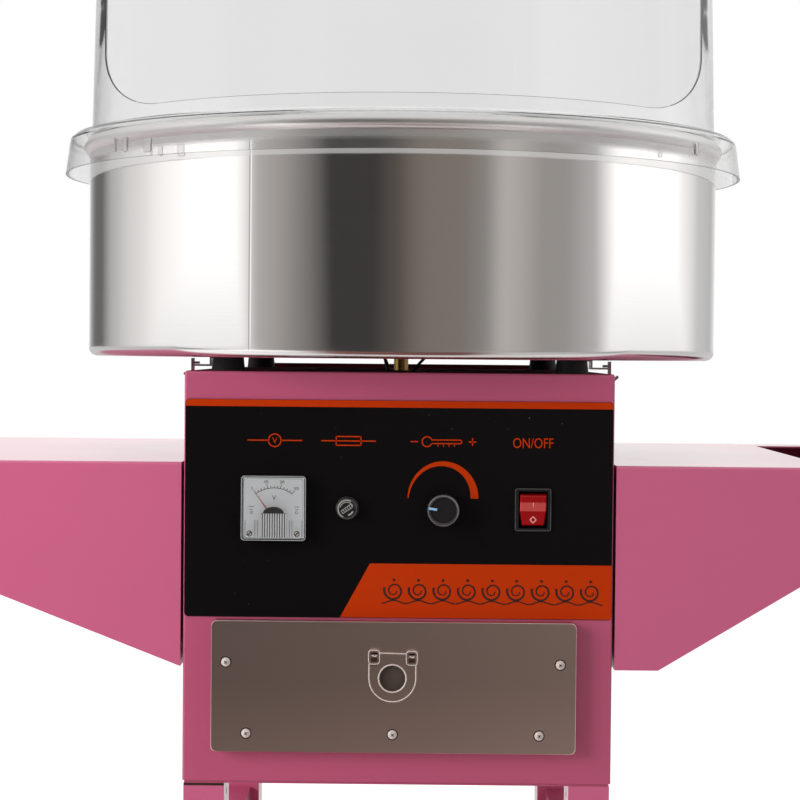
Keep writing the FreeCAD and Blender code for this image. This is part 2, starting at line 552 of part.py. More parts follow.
def push_handle():
    """The bent tube that the cart is pushed by, with a flange at each end."""
    path, y, z = handle_path(), HANDLE_SPAN / 2, handle_height()
    tubes = []
    for radius in (HANDLE_R, HANDLE_R - HANDLE_WALL):
        circle = Part.Wire(Part.makeCircle(radius, Vector(RIGHT_END, -y, z), Vector(1, 0, 0)))
        tubes.append(path.makePipeShell([circle], True, True))
    flanges = []
    for sy in (-1, 1):
        disc = rod((RIGHT_END, sy * y, z), (RIGHT_END + FLANGE_T, sy * y, z), FLANGE_R)
        flanges.append(disc)
    body = fused([tubes[0]] + flanges).cut(tubes[1])
    return body.cut([rod((RIGHT_END - 1, hy, hz), (RIGHT_END + 5, hy, hz), SCREW_R + HOLE_FIT)
                     for hy, hz in handle_screw_places()])


def handle_grip():
    x, z = REACH - GRIP_R, handle_height()
    sleeve = rod((x, -GRIP_L / 2, z), (x, GRIP_L / 2, z), GRIP_R)
    sleeve = sleeve.makeChamfer(2.5, [e for e in sleeve.Edges if abs(abs(e.CenterOfMass.y) - GRIP_L / 2) < 0.1])
    return sleeve.cut(rod((x, -GRIP_L, z), (x, GRIP_L, z), HANDLE_R + BORE_FIT))


# ---- control panel ----
def control_panel():
    """The printed plate over the front of the housing."""
    width, z = BODY_W - 2, BODY_TOP - PANEL_DROP - PANEL_H / 2
    plate = rounded_plate(0, z, width, PANEL_H, 3.0, PANEL_FACE, FRONT)
    return plate.cut(instrument_holes(PANEL_FACE - 1, FRONT + 1))


def meter_case():
    """The voltmeter's base plate and the barrel behind the panel."""
    half = METER_S / 2 - METER_WALL - HOLE_FIT
    plate = box(METER_X - half, METER_X + half, PANEL_FACE - METER_BASE_T, PANEL_FACE,
                CONTROL_Z - half, CONTROL_Z + half)
    barrel = rod((METER_X, PANEL_FACE - 0.5, CONTROL_Z), (METER_X, PANEL_FACE + METER_BARREL_L, CONTROL_Z),
                 METER_BARREL_R)
    return plate.fuse(barrel).cut(meter_screw_holes(PANEL_FACE - METER_BASE_T - 1, PANEL_FACE - 0.5))


def meter_screw_holes(y0, y1):
    z = CONTROL_Z - METER_SCREW_DROP
    places = [METER_X - METER_SCREW_X, METER_X + METER_SCREW_X]
    return [rod((x, y0, z), (x, y1, z), METER_SCREW_R + HOLE_FIT) for x in places]


def meter_dial():
    """The scale plate with the pin that the needle turns on."""
    y = PANEL_FACE - METER_BASE_T
    half = METER_S / 2 - METER_WALL - 2 * HOLE_FIT
    plate = box(METER_X - half, METER_X + half, y - DIAL_T, y, CONTROL_Z - half, CONTROL_Z + half)
    plate = plate.cut(meter_screw_holes(y - 2, y + 1))
    z = CONTROL_Z - NEEDLE_DROP
    return plate.fuse(rod((METER_X, y - DIAL_T / 2, z), (METER_X, y - DIAL_T - NEEDLE_PIN_L, z), NEEDLE_PIN_R))


def meter_needle():
    """The pointer at its rest place on the zero mark, with its hub and tail."""
    y = PANEL_FACE - METER_BASE_T - DIAL_T - NEEDLE_GAP
    z = CONTROL_Z - NEEDLE_DROP
    hub = ring_y(METER_X, z, y - 2 * NEEDLE_T, y + NEEDLE_T, 2.2, NEEDLE_PIN_R + BORE_FIT)
    blade = slab([(METER_X - 0.6, z + 1.5), (METER_X + 0.6, z + 1.5),
                  (METER_X + 0.2, z + NEEDLE_L), (METER_X - 0.2, z + NEEDLE_L)], "y", y - NEEDLE_T, NEEDLE_T)
    tail = box(METER_X - 0.7, METER_X + 0.7, y - NEEDLE_T, y, z - 5, z - 1.5)
    needle = fused([hub, blade, tail])
    return needle.rotate(Vector(METER_X, 0, z), Vector(0, 1, 0), -NEEDLE_REST)


def meter_cover():
    """The clear square cover over the dial, open behind."""
    half, inner = METER_S / 2, METER_S / 2 - METER_WALL
    front = PANEL_FACE - METER_DEPTH
    cover = rounded_plate(METER_X, CONTROL_Z, METER_S, METER_S, 2.0, front, PANEL_FACE)
    face_edges = [e for e in cover.Edges if abs(e.CenterOfMass.y - front) < 0.1]
    cover = cover.makeChamfer(0.8, face_edges)
    hollow = box(METER_X - inner, METER_X + inner, front + METER_WALL, PANEL_FACE + 1,
                 CONTROL_Z - inner, CONTROL_Z + inner)
    return cover.cut([hollow] + meter_screw_holes(front - 1, front + METER_WALL + 1))


def meter_screws():
    """Two screws through the cover into the base plate."""
    screws = []
    front = PANEL_FACE - METER_DEPTH
    z = CONTROL_Z - METER_SCREW_DROP
    for s in (-1, 1):
        x = METER_X + s * METER_SCREW_X
        head = rod((x, front - 1, z), (x, front, z), 2.2)
        head = head.cut(box(x - 2.5, x + 2.5, front - 2, front - 0.5, z - 0.3, z + 0.3))
        screws.append(head.fuse(rod((x, front, z), (x, PANEL_FACE - 0.5, z), METER_SCREW_R)))
    return screws


def fuse_holder():
    """A panel fuse holder: flange in front, barrel and nut behind."""
    z, face = CONTROL_Z, PANEL_FACE
    front, back = face - FUSE_FLANGE_T, face + FUSE_BARREL_L
    flange = rod((FUSE_X, front, z), (FUSE_X, face, z), FUSE_FLANGE_R)
    flange = flange.makeChamfer(0.8, [e for e in flange.Edges if abs(e.CenterOfMass.y - front) < 0.1])
    barrel = rod((FUSE_X, face - 0.5, z), (FUSE_X, back, z), FUSE_BARREL_R)
    nut_y = FRONT + SHEET
    nut = hexagon_y(FUSE_X, z, nut_y, nut_y + 3, 17.0)
    tag = box(FUSE_X - 1.5, FUSE_X + 1.5, back - 1, back + 8, z - 0.5, z + 0.5)
    holder = fused([flange, barrel, nut, tag])
    floor = front - RUN_GAP + FUSE_STEM + FUSE_L + RUN_GAP
    return holder.cut(rod((FUSE_X, front - 1, z), (FUSE_X, floor, z), FUSE_BORE_R + BORE_FIT))


def fuse_cap():
    """The slotted cap that turns a quarter way to free the fuse."""
    z, seat = CONTROL_Z, PANEL_FACE - FUSE_FLANGE_T - RUN_GAP
    front = seat - FUSE_CAP_H
    cap = rod((FUSE_X, front, z), (FUSE_X, seat, z), FUSE_CAP_R)
    cap = cap.makeChamfer(1.0, [e for e in cap.Edges if abs(e.CenterOfMass.y - front) < 0.1])
    cap = cap.cut(box(FUSE_X - 4, FUSE_X + 4, front - 1, front + 1.4, z - 0.7, z + 0.7))
    return cap.fuse(rod((FUSE_X, seat - 0.5, z), (FUSE_X, seat + FUSE_STEM, z), FUSE_BORE_R))


def glass_fuse():
    seat = PANEL_FACE - FUSE_FLANGE_T - RUN_GAP + FUSE_STEM
    return rod((FUSE_X, seat, CONTROL_Z), (FUSE_X, seat + FUSE_L, CONTROL_Z), FUSE_R)


def temperature_control():
    """The potentiometer behind the panel, its threaded bush and front nut."""
    z, back = CONTROL_Z, FRONT + SHEET
    can = rod((KNOB_X, back, z), (KNOB_X, back + POT_L, z), POT_R)
    bush = rod((KNOB_X, PANEL_FACE - 2, z), (KNOB_X, back + 1, z), POT_BUSH_R)
    nut = hexagon_y(KNOB_X, z, PANEL_FACE - 1.5, PANEL_FACE, 11.0)
    legs = [box(KNOB_X + dx - 0.6, KNOB_X + dx + 0.6, back + 4, back + 5, z - POT_R - 6, z - POT_R + 2)
            for dx in (-5, 0, 5)]
    pot = fused([can, bush, nut] + legs)
    depth = back + POT_SHAFT_IN + RUN_GAP
    return pot.cut(rod((KNOB_X, PANEL_FACE - 5, z), (KNOB_X, depth, z), POT_SHAFT_R + BORE_FIT))


def temperature_knob():
    """The fluted knob, its pointer ridge and the shaft it turns."""
    z, back = CONTROL_Z, PANEL_FACE - KNOB_GAP
    face = back - KNOB_H
    skirt = Part.makeCone(KNOB_R, KNOB_R - 1.2, KNOB_H, Vector(KNOB_X, back, z), Vector(0, -1, 0))
    skirt = skirt.makeChamfer(0.8, [e for e in skirt.Edges if abs(e.CenterOfMass.y - face) < 0.1])
    flutes = []
    for k in range(KNOB_FLUTES):
        a = math.radians(360 / KNOB_FLUTES * (k + 0.5))
        x, h = KNOB_X + (KNOB_R + 0.5) * math.cos(a), z + (KNOB_R + 0.5) * math.sin(a)
        flutes.append(rod((x, back - 3, h), (x, face - 1, h), 1.1))
    dish = rod((KNOB_X, face - 1, z), (KNOB_X, face + 1.2, z), KNOB_R - 3)
    knob = skirt.cut(flutes + [dish])
    pointer = box(KNOB_X - KNOB_R + 3.4, KNOB_X - 2.5, face + 0.2, face + 1.4, z - 0.8, z + 0.8)
    pointer = pointer.rotate(Vector(KNOB_X, 0, z), Vector(0, 1, 0), KNOB_REST)
    shaft = rod((KNOB_X, back - 1, z), (KNOB_X, FRONT + SHEET + POT_SHAFT_IN, z), POT_SHAFT_R)
    return fused([knob, pointer, shaft])


def switch_bezel():
    """The switch housing, clipped into the panel, with its frame and blade terminals."""
    z, face = CONTROL_Z, PANEL_FACE
    frame = rounded_plate(SWITCH_X, z, SWITCH_W, SWITCH_H, 1.5, face - SWITCH_FRAME_T, face)
    back = face + SWITCH_DEPTH
    can = switch_block(HOLE_FIT, face - 0.5, back)
    blades = [box(SWITCH_X + dx - 3, SWITCH_X + dx + 3, back - 1, back + SWITCH_BLADE, z + dz - 0.4, z + dz + 0.4)
              for dx in (-6, 6) for dz in (-8, 8)]
    body = fused([frame, can] + blades)
    well_r, well_w = ROCKER_R + RUN_GAP, ROCKER_HALF_W + ROCKER_FIT
    well = rod((SWITCH_X - well_w, ROCKER_PIVOT_Y, z), (SWITCH_X + well_w, ROCKER_PIVOT_Y, z), well_r)
    mouth = box(SWITCH_X - well_w, SWITCH_X + well_w, face - 5, ROCKER_PIVOT_Y, z - well_r, z + well_r)
    pins = rod((SWITCH_X - well_w - 1, ROCKER_PIVOT_Y, z), (SWITCH_X + well_w + 1, ROCKER_PIVOT_Y, z),
               ROCKER_PIN_R + BORE_FIT)
    return body.cut([well, mouth, pins])


def switch_rocker():
    """The two-way rocker, shown with its lower half pressed in."""
    y, z = ROCKER_PIVOT_Y, CONTROL_Z
    out = math.sqrt(ROCKER_R ** 2 - ROCKER_HALF_H ** 2)
    drum = rod((SWITCH_X - ROCKER_HALF_W, y, z), (SWITCH_X + ROCKER_HALF_W, y, z), ROCKER_R)
    side = [(y - out, z - ROCKER_HALF_H), (y - out + 1.6, z), (y - out, z + ROCKER_HALF_H),
            (y, z + ROCKER_R + 1), (y + 3, z + ROCKER_R + 1), (y + 3, z - ROCKER_R - 1), (y, z - ROCKER_R - 1)]
    cap = drum.common(slab(side, "x", SWITCH_X - ROCKER_HALF_W, 2 * ROCKER_HALF_W))
    pin_end = ROCKER_HALF_W + ROCKER_FIT + 0.8
    pins = rod((SWITCH_X - pin_end, y, z), (SWITCH_X + pin_end, y, z), ROCKER_PIN_R)
    rocker = cap.fuse(pins)
    return rocker.rotate(Vector(0, y, z), Vector(1, 0, 0), ROCKER_TILT)


# ---- drawer ----
def drawer_screw_places():
    """Fixing screws of the drawer front, from its centre."""
    side, high = DRAWER_W / 2 - DRAWER_SCREW_IN, DRAWER_H / 2 - DRAWER_SCREW_DROP
    low_side, low = DRAWER_W / 2 - LOW_SCREW_IN, LOW_SCREW_RISE - DRAWER_H / 2
    pattern = [(-side, high), (side, high), (-low_side, low), (0, low), (low_side, low)]
    return [(DRAWER_X + dx, DRAWER_Z + dz) for dx, dz in pattern]


def drawer_front():
    """A shallow folded pan, open behind, with softened edges."""
    pan = rounded_plate(DRAWER_X, DRAWER_Z, DRAWER_W, DRAWER_H, 3.0, DRAWER_FACE, BOX_FACE)
    pan = pan.makeChamfer(0.8, [e for e in pan.Edges if abs(e.CenterOfMass.y - DRAWER_FACE) < 0.1])
    hollow = rounded_plate(DRAWER_X, DRAWER_Z, DRAWER_W - 2 * SHEET, DRAWER_H - 2 * SHEET, 1.5,
                           DRAWER_FACE + SHEET, BOX_FACE + 1)
    return pan.cut([hollow] + [rod((x, DRAWER_FACE - 1, z), (x, BOX_FACE + 1, z), SCREW_R + HOLE_FIT)
                               for x, z in drawer_screw_places()])


def drawer_box():
    """An open box whose front wall reaches out behind the drawer front."""
    x0, x1 = DRAWER_X - BOX_W / 2, DRAWER_X + BOX_W / 2
    y0, y1 = BOX_FACE, BOX_FACE + BOX_D
    tub = box(x0, x1, y0, y1, BOX_Z, BOX_Z + BOX_H)
    tub = tub.cut(box(x0 + THIN, x1 - THIN, y0 + THIN, y1 - THIN, BOX_Z + THIN, BOX_Z + BOX_H + 1))
    half_w, half_h = DRAWER_W / 2 - BOX_MARGIN, DRAWER_H / 2 - BOX_MARGIN
    wall = box(DRAWER_X - half_w, DRAWER_X + half_w, y0, y0 + THIN, DRAWER_Z - half_h, DRAWER_Z + half_h)
    return tub.fuse(wall).cut([rod((x, y0 - 1, z), (x, y0 + THIN + 1, z), SCREW_R + HOLE_FIT)
                               for x, z in drawer_screw_places()])


def drawer_screws():
    """Pan-head screws with a cross recess."""
    screws = []
    for x, z in drawer_screw_places():
        head = rod((x, DRAWER_FACE - SCREW_HEAD_H, z), (x, DRAWER_FACE, z), SCREW_HEAD_R)
        head = head.makeChamfer(1.0, [e for e in head.Edges
                                     if abs(e.CenterOfMass.y - DRAWER_FACE + SCREW_HEAD_H) < 0.1])
        for wide, tall in ((2.0, 0.4), (0.4, 2.0)):
            head = head.cut(box(x - wide, x + wide, DRAWER_FACE - SCREW_HEAD_H - 1,
                                DRAWER_FACE - SCREW_HEAD_H + 0.9, z - tall, z + tall))
        screws.append(head.fuse(rod((x, DRAWER_FACE, z), (x, BOX_FACE + THIN, z), SCREW_R)))
    return screws


def drawer_runners():
    """Two folded channels on the base pan that carry the drawer box."""
    runners = []
    top, foot = BOX_Z - RUN_GAP, PAN_Z + SHEET
    y0, y1 = FRONT + 2 * SHEET + 1, BOX_FACE + BOX_D + RUNNER_OVER
    for sx in (-1, 1):
        web = DRAWER_X + sx * (BOX_W / 2 + 3)
        inner = web - sx * RUNNER_W
        pieces = [box(web, web - sx * 2, y0, y1, foot, top), box(web, inner, y0, y1, top - 2, top),
                  box(web, inner, y0, y1, foot, foot + 2)]
        runners.append(fused(pieces))
    return runners


def pull_bracket():
    """Two lugs on the drawer front and the pin between them."""
    lugs = []
    for sx in (-1, 1):
        outer, inner = DRAWER_X + sx * PULL_W / 2, DRAWER_X + sx * (PULL_W / 2 - LUG_W)
        top = PULL_Z + PULL_KNUCKLE_R
        base = box(outer, inner, DRAWER_FACE - 1, DRAWER_FACE, top - LUG_H, top)
        knuckle = rod((outer, PIN_Y, PULL_Z), (inner, PIN_Y, PULL_Z), PULL_KNUCKLE_R)
        neck = box(outer, inner, PIN_Y, DRAWER_FACE, PULL_Z - PULL_KNUCKLE_R / 2, top)
        lugs.append(fused([base, knuckle, neck]))
    x0, x1 = DRAWER_X - PULL_W / 2 + 1, DRAWER_X + PULL_W / 2 - 1
    return fused(lugs + [rod((x0, PIN_Y, PULL_Z), (x1, PIN_Y, PULL_Z), PULL_PIN_R)])


def pull_plate():
    """The hinged finger plate: round at the foot, with a rimmed finger hole."""
    y0, y1 = PIN_Y - PULL_T / 2, PIN_Y + PULL_T / 2
    half, neck = PULL_W / 2, PULL_W / 2 - LUG_W - PULL_PLAY
    round_z = PULL_Z - PULL_L + half
    shoulder_z = PULL_Z + PULL_KNUCKLE_R - LUG_H - PULL_PLAY
    wide = box(DRAWER_X - half, DRAWER_X + half, y0, y1, round_z, shoulder_z)
    foot = rod((DRAWER_X, y0, round_z), (DRAWER_X, y1, round_z), half)
    foot = foot.common(box(DRAWER_X - half, DRAWER_X + half, y0, y1, round_z - half, round_z))
    middle = box(DRAWER_X - neck, DRAWER_X + neck, y0, y1, shoulder_z - 1, PULL_Z)
    barrel = rod((DRAWER_X - neck, PIN_Y, PULL_Z), (DRAWER_X + neck, PIN_Y, PULL_Z), PULL_PIN_OUT - PULL_PLAY)
    rim = rod((DRAWER_X, y0 - 0.8, round_z), (DRAWER_X, y1, round_z), PULL_HOLE_R + PULL_RIM)
    plate = fused([wide, foot, middle, barrel, rim])
    return plate.cut([rod((DRAWER_X, y0 - 3, round_z), (DRAWER_X, y1 + 1, round_z), PULL_HOLE_R),
                      rod((DRAWER_X - half, PIN_Y, PULL_Z), (DRAWER_X + half, PIN_Y, PULL_Z),
                          PULL_PIN_R + BORE_FIT)])


# ---- bowl ----
def bowl():
    """A spun bowl with a flat floor, round corner, rolled rim and a collar round the middle hole."""
    floor, c, t = BOWL_Z, BOWL_CORNER, THIN
    corner = (BOWL_R - c, floor + c)
    hole, collar = BOWL_HOLE_R, floor + BOWL_COLLAR
    dish = turned([(hole, floor)] + bow(corner, c, -90, 0, 4) + [(BOWL_R, BEAD_Z), (BOWL_R - t, BEAD_Z)]
                  + bow(corner, c - t, 0, -90, 4) + [(hole + t, floor + t), (hole + t, collar), (hole, collar)])
    bead = turned(bow((BEAD_RING, BEAD_Z), BEAD_R, BEAD_LAP, 360 - BEAD_LAP, 11))
    return dish.fuse(bead).removeSplitter()


def bowl_feet():
    """Rubber feet between the body top and the bowl."""
    return [Part.makeCone(FEET_R + 1, FEET_R, FEET_H, Vector(sx * FEET_X, sy * FEET_Y, BODY_TOP))
            for sx in (-1, 1) for sy in (-1, 1)]


def bowl_catches():
    """Angle brackets under the bowl with an outward lip for the side latches."""
    catches = []
    for sx in (-1, 1):
        half = LATCH_W
        flange = box(sx * (CATCH_X - CATCH_FOOT), sx * (CATCH_X + SHEET), -half, half, BOWL_Z - SHEET, BOWL_Z)
        web = box(sx * CATCH_X, sx * (CATCH_X + SHEET), -half, half, CATCH_Z, BOWL_Z)
        lip = box(sx * CATCH_X, sx * (CATCH_X + CATCH_LIP), -half, half, CATCH_Z, CATCH_Z + SHEET)
        catches.append(fused([flange, web, lip]))
    return catches


def latch_bases():
    """Plates on the body's sides, with ears and a pin for each latch."""
    bases = []
    for sx in (-1, 1):
        y = LATCH_W / 2 + RUN_GAP
        edge = y + LATCH_PLATE_EDGE
        plate = box(sx * SIDE, sx * (SIDE + SHEET), -edge, edge, LATCH_Z - LATCH_PLATE_LOW,
                    LATCH_Z + LATCH_PLATE_HIGH)
        pin = rod((sx * LATCH_PIVOT_X, -y - SHEET, LATCH_Z), (sx * LATCH_PIVOT_X, y + SHEET, LATCH_Z), LATCH_PIN_R)
        ears = []
        pivot, r = sx * LATCH_PIVOT_X, LATCH_BARREL_R
        for sy in (-1, 1):
            y0, y1 = sy * y, sy * (y + SHEET)
            ears.append(box(sx * SIDE, pivot, y0, y1, LATCH_Z - r, LATCH_Z + r))
            ears.append(rod((pivot, y0, LATCH_Z), (pivot, y1, LATCH_Z), r))
        bases.append(fused([plate, pin] + ears))
    return bases


def latch_hook():
    """The right-hand hook: barrel, upright strip, inward tip over the catch and a finger tab."""
    half = LATCH_W / 2
    arm_x0 = CATCH_X + CATCH_LIP + RUN_GAP
    arm_x1 = arm_x0 + LATCH_STRIP
    tip_z = CATCH_Z + SHEET + RUN_GAP
    tip_in = arm_x1 - LATCH_TIP
    arm = box(arm_x0, arm_x1, -half, half, LATCH_Z, BOWL_Z - LATCH_HEAD_GAP)
    tip = box(tip_in, arm_x1, -half, half, tip_z, tip_z + LATCH_STRIP)
    barrel = rod((LATCH_PIVOT_X, -half, LATCH_Z), (LATCH_PIVOT_X, half, LATCH_Z), LATCH_BARREL_R)
    tab_z, out = LATCH_Z + LATCH_TAB_RISE, arm_x1 + LATCH_TAB_OUT
    tab = slab([(arm_x1 - 0.5, tab_z), (out, tab_z + LATCH_TAB_OUT), (out - 1, tab_z + LATCH_TAB_OUT + 1.5),
                (arm_x1 - 0.5, tab_z + 2)], "y", -half, LATCH_W)
    hook = fused([arm, tip, barrel, tab])
    pin = (LATCH_PIVOT_X, -LATCH_W, LATCH_Z), (LATCH_PIVOT_X, LATCH_W, LATCH_Z)
    return hook.cut(rod(*pin, LATCH_PIN_R + BORE_FIT))


# ---- dome ----
def dome_outline(inset):
    """Half section of the dome, inset from its outer face, closed on the axis."""
    knee = (DOME_TOP_R - DOME_SHOULDER, DOME_TOP_Z - DOME_CROWN - DOME_SHOULDER)
    return ([(DOME_R - inset, DOME_SEAT + DOME_T)] + bow(knee, DOME_SHOULDER - inset, 0, 90, 7)
            + [(0, DOME_TOP_Z - inset), (0, DOME_SEAT + DOME_T)])


def dome():
    """A clear dome: tapered wall, rounded top, a stepped flange on the rim and a front window."""
    seat, t, low = DOME_SEAT, DOME_T, DOME_SEAT + DOME_T - SKIRT_H
    shell = turned(dome_outline(0.0)).cut(turned(dome_outline(t)))
    bend = (SKIRT_TOP_R - SKIRT_BEND, seat + t - SKIRT_BEND)
    inside, outside = bow(bend, SKIRT_BEND - t, 90, 0, 2), bow(bend, SKIRT_BEND, 0, 90, 3)
    flange = turned([(DOME_R - t, seat)] + inside + [(SKIRT_R - t, low), (SKIRT_R, low)] + outside
                    + [(DOME_R - t, seat + t)])
    z0 = seat + t + WINDOW_RISE
    window = rounded_plate(0, z0 + WINDOW_H / 2, WINDOW_W, WINDOW_H, WINDOW_R, -DOME_R - 20, -20)
    return shell.fuse(flange).cut(window).removeSplitter()


# ---- drive and spinner ----
def motor_mount():
    """A folded bracket that hangs the motor under the body top."""
    half, z0, z1 = MOUNT_W / 2, MOUNT_Z, TOP_IN
    floor = box(-half, half, -half, half, z0, z0 + MOUNT_T)
    walls = []
    for sx in (-1, 1):
        walls.append(box(sx * half, sx * (half - MOUNT_T), -half, half, z0, z1))
        walls.append(box(sx * half, sx * (half + MOUNT_LIP), -half, half, z1 - MOUNT_T, z1))
    return fused([floor] + walls).cut(rod((0, 0, z0 - 1), (0, 0, z0 + MOUNT_T + 1), MOTOR_BOSS_R + HOLE_FIT))


def motor():
    """The motor can with its bearing boss; its cooling ribs run round the lower half."""
    top = MOUNT_Z
    can = rod((0, 0, top - MOTOR_H), (0, 0, top), MOTOR_R)
    first = top - MOTOR_H + GROOVE_PITCH
    grooves = [ring(0, 0, first + GROOVE_PITCH * k, first + GROOVE_PITCH * k + GROOVE_W,
                    MOTOR_R + 1, MOTOR_R - GROOVE_DEPTH) for k in range(MOTOR_GROOVES)]
    boss = rod((0, 0, top - 1), (0, 0, top + MOTOR_BOSS_H), MOTOR_BOSS_R)
    body = can.cut(grooves).fuse(boss)
    bore_z = top - SPINDLE_IN_MOTOR
    return body.cut(rod((0, 0, bore_z - RUN_GAP), (0, 0, top + 20), SPINDLE_R + BORE_FIT))


def spindle():
    """The brass shaft from the motor to the spinner, with a seat for the slip-ring disc."""
    base = MOUNT_Z - SPINDLE_IN_MOTOR
    top = HEAD_Z + HEAD_HUB_H + HEAD_NUT_H + 4
    shaft = rod((0, 0, base), (0, 0, top), SPINDLE_R)
    seat = rod((0, 0, SLIP_Z + SLIP_T), (0, 0, SLIP_Z + SLIP_T + 3), SPINDLE_R + 4)
    return shaft.fuse(seat).cut(rod((0, 0, SLIP_Z + 1), (0, 0, top + 1), SPINDLE_BORE_R))


def slip_disc():
    return ring(0, 0, SLIP_Z, SLIP_Z + SLIP_T, SLIP_R, SPINDLE_R)


def slip_rings():
    """Two copper tracks under the disc."""
    w = SLIP_RING_W / 2
    return [ring(0, 0, SLIP_Z - 1, SLIP_Z, r + w, r - w) for r in (SLIP_INNER_R, SLIP_OUTER_R)]


def brush_block():
    """The insulating ring under the body top that carries the brushes."""
    return ring(0, 0, TOP_IN - BRUSH_BLOCK_H, TOP_IN, BRUSH_BLOCK_R, BRUSH_BLOCK_BORE)


def brushes():
    """Two carbon brushes on slanted spring wires, a running gap below their tracks."""
    arms = []
    top = SLIP_Z - 1 - RUN_GAP
    for foot_x, track_x in ((-11.5, -SLIP_INNER_R), (11.0, SLIP_OUTER_R)):
        pad = box(track_x - 2, track_x + 2, -2, 2, top - 3, top)
        foot = rod((foot_x, 0, TOP_IN), (foot_x, 0, TOP_IN + 1.2), 2.0)
        wire = rod((foot_x, 0, TOP_IN + 0.6), (track_x, 0, top - 2), 0.9)
        arms.append(fused([foot, wire, pad]))
    return arms


def spinner_base():
    """The conical dish of the spinner head and its hub."""
    z, t, hub, flat, top = HEAD_Z, DISH_T, HEAD_HUB_R, HEAD_R - RIM_FLAT, HEAD_Z + DISH_RISE
    return turned([(SPINDLE_R, z - 6), (hub, z - 6), (hub, z), (flat, top), (HEAD_R, top), (HEAD_R, top + t),
                   (flat, top + t), (hub, z + t), (hub - 2, z + HEAD_HUB_H), (SPINDLE_R, z + HEAD_HUB_H)])


def heater_band():
    """The ring that melts the sugar and throws it out through its slots."""
    z0 = BAND_Z
    band = ring(0, 0, z0, z0 + BAND_H, HEAD_R, HEAD_R - BAND_T)
    low = z0 + (BAND_H - SLOT_H) / 2
    slots = []
    for k in range(BAND_SLOTS):
        slot = box(HEAD_R - BAND_T - 1, HEAD_R + 1, -SLOT_W / 2, SLOT_W / 2, low, low + SLOT_H)
        slots.append(slot.rotate(Vector(), Vector(0, 0, 1), 360 / BAND_SLOTS * k))
    return band.cut(slots)


def spinner_cover():
    """The top ring of the head, dished inwards round the sugar opening."""
    z0 = BAND_Z + BAND_H
    hole, rim, t = COVER_HOLE_R, HEAD_R + 1.5, COVER_T
    return turned([(hole, z0 - 6), (hole + 2, z0 - 6), (hole + 7, z0), (rim, z0), (rim, z0 + t),
                   (hole + 6, z0 + t), (hole, z0 - 4)])


def spinner_nut():
    z = HEAD_Z + HEAD_HUB_H
    r = HEAD_NUT_W / math.sqrt(3)
    points = [(r * math.cos(math.radians(60 * k)), r * math.sin(math.radians(60 * k))) for k in range(6)]
    return slab(points, "z", z, HEAD_NUT_H).cut(rod((0, 0, z - 1), (0, 0, z + HEAD_NUT_H + 1), SPINDLE_R))


def control_board():
    """The heater's control board on stand-offs, on the left wall of the body."""
    z, wall = BODY_TOP - BOARD_DROP, -SIDE + SHEET
    back = wall + STANDOFF
    face = back + BOARD_T
    half_w, half_h = BOARD_W / 2, BOARD_H / 2
    board = box(back, face, BOARD_Y - half_w, BOARD_Y + half_w, z - half_h, z + half_h)
    posts = [rod((wall, y, h), (back, y, h), 3.0)
             for y in (BOARD_Y - half_w + 6, BOARD_Y + half_w - 6) for h in (z - half_h + 6, z + half_h - 6)]
    sink_y = BOARD_Y - half_w + 20
    sink = box(face, face + SINK_OUT, sink_y, sink_y + SINK_W, z - SINK_H / 2, z + SINK_H / 2)
    slots = [box(face + 4, face + SINK_OUT + 1, y, y + FIN_PITCH / 2, z - SINK_H, z + SINK_H)
             for y in (sink_y + FIN_PITCH / 2 + FIN_PITCH * k for k in range(FINS - 1))]
    coil_y = BOARD_Y + half_w - 2 * COIL_R
    coil = rod((face, coil_y, z), (face + COIL_R, coil_y, z), COIL_R)
    return fused([board, sink.cut(slots), coil] + posts)


# ---- write every node ----
save("body_shell", body_shell())
save("base_pan", base_pan())
save("back_panel", back_panel())
save("power_inlet", power_inlet())
save("front_left_leg", leg(-1, -1, AXLE_Z - LEG_BELOW))
save("rear_left_leg", leg(-1, 1, AXLE_Z - LEG_BELOW))
save("front_right_leg", leg(1, -1, FOOT_H))
save("rear_right_leg", leg(1, 1, FOOT_H))
save("side_rails", *side_rails())
save("lower_shelf", lower_deck())
save("frame_bolts", *frame_bolts())
save("rubber_feet", *rubber_feet())
axle, washers, caps = axle_parts()
save("axle", axle)
save("axle_fittings", *washers, *caps)
save("front_wheel", wheel(-1))
save("rear_wheel", wheel(1))
save("front_tyre", tyre(-1))
save("rear_tyre", tyre(1))
save("left_shelf", left_shelf())
save("right_shelf", right_shelf())
save("shelf_bolts", *shelf_bolts())
save("push_handle", push_handle())
save("handle_grip", handle_grip())
save("control_panel", control_panel())
save("meter_case", meter_case())
save("meter_dial", meter_dial())
save("meter_needle", meter_needle())
save("meter_cover", meter_cover())
save("meter_screws", *meter_screws())
save("fuse_holder", fuse_holder())
save("fuse_cap", fuse_cap())
save("glass_fuse", glass_fuse())
save("temperature_control", temperature_control())
save("temperature_knob", temperature_knob())
save("switch_bezel", switch_bezel())
save("switch_rocker", switch_rocker())
save("drawer_front", drawer_front())
save("drawer_box", drawer_box())
save("drawer_screws", *drawer_screws())
save("drawer_runners", *drawer_runners())
save("pull_bracket", pull_bracket())
save("pull_plate", pull_plate())
save("bowl", bowl())
save("bowl_feet", *bowl_feet())
save("bowl_catches", *bowl_catches())
save("latch_bases", *latch_bases())
save("right_latch_hook", latch_hook())
save("left_latch_hook", mirrored_x(latch_hook()))
save("dome", dome())
save("control_board", control_board())
save("motor_mount", motor_mount())
save("motor", motor())
save("spindle", spindle())
save("slip_disc", slip_disc())
save("slip_rings", *slip_rings())
save("brush_block", brush_block())
save("brushes", *brushes())
save("spinner_head", spinner_base(), spinner_nut())
save("heater_band", heater_band())
save("spinner_cover", spinner_cover())
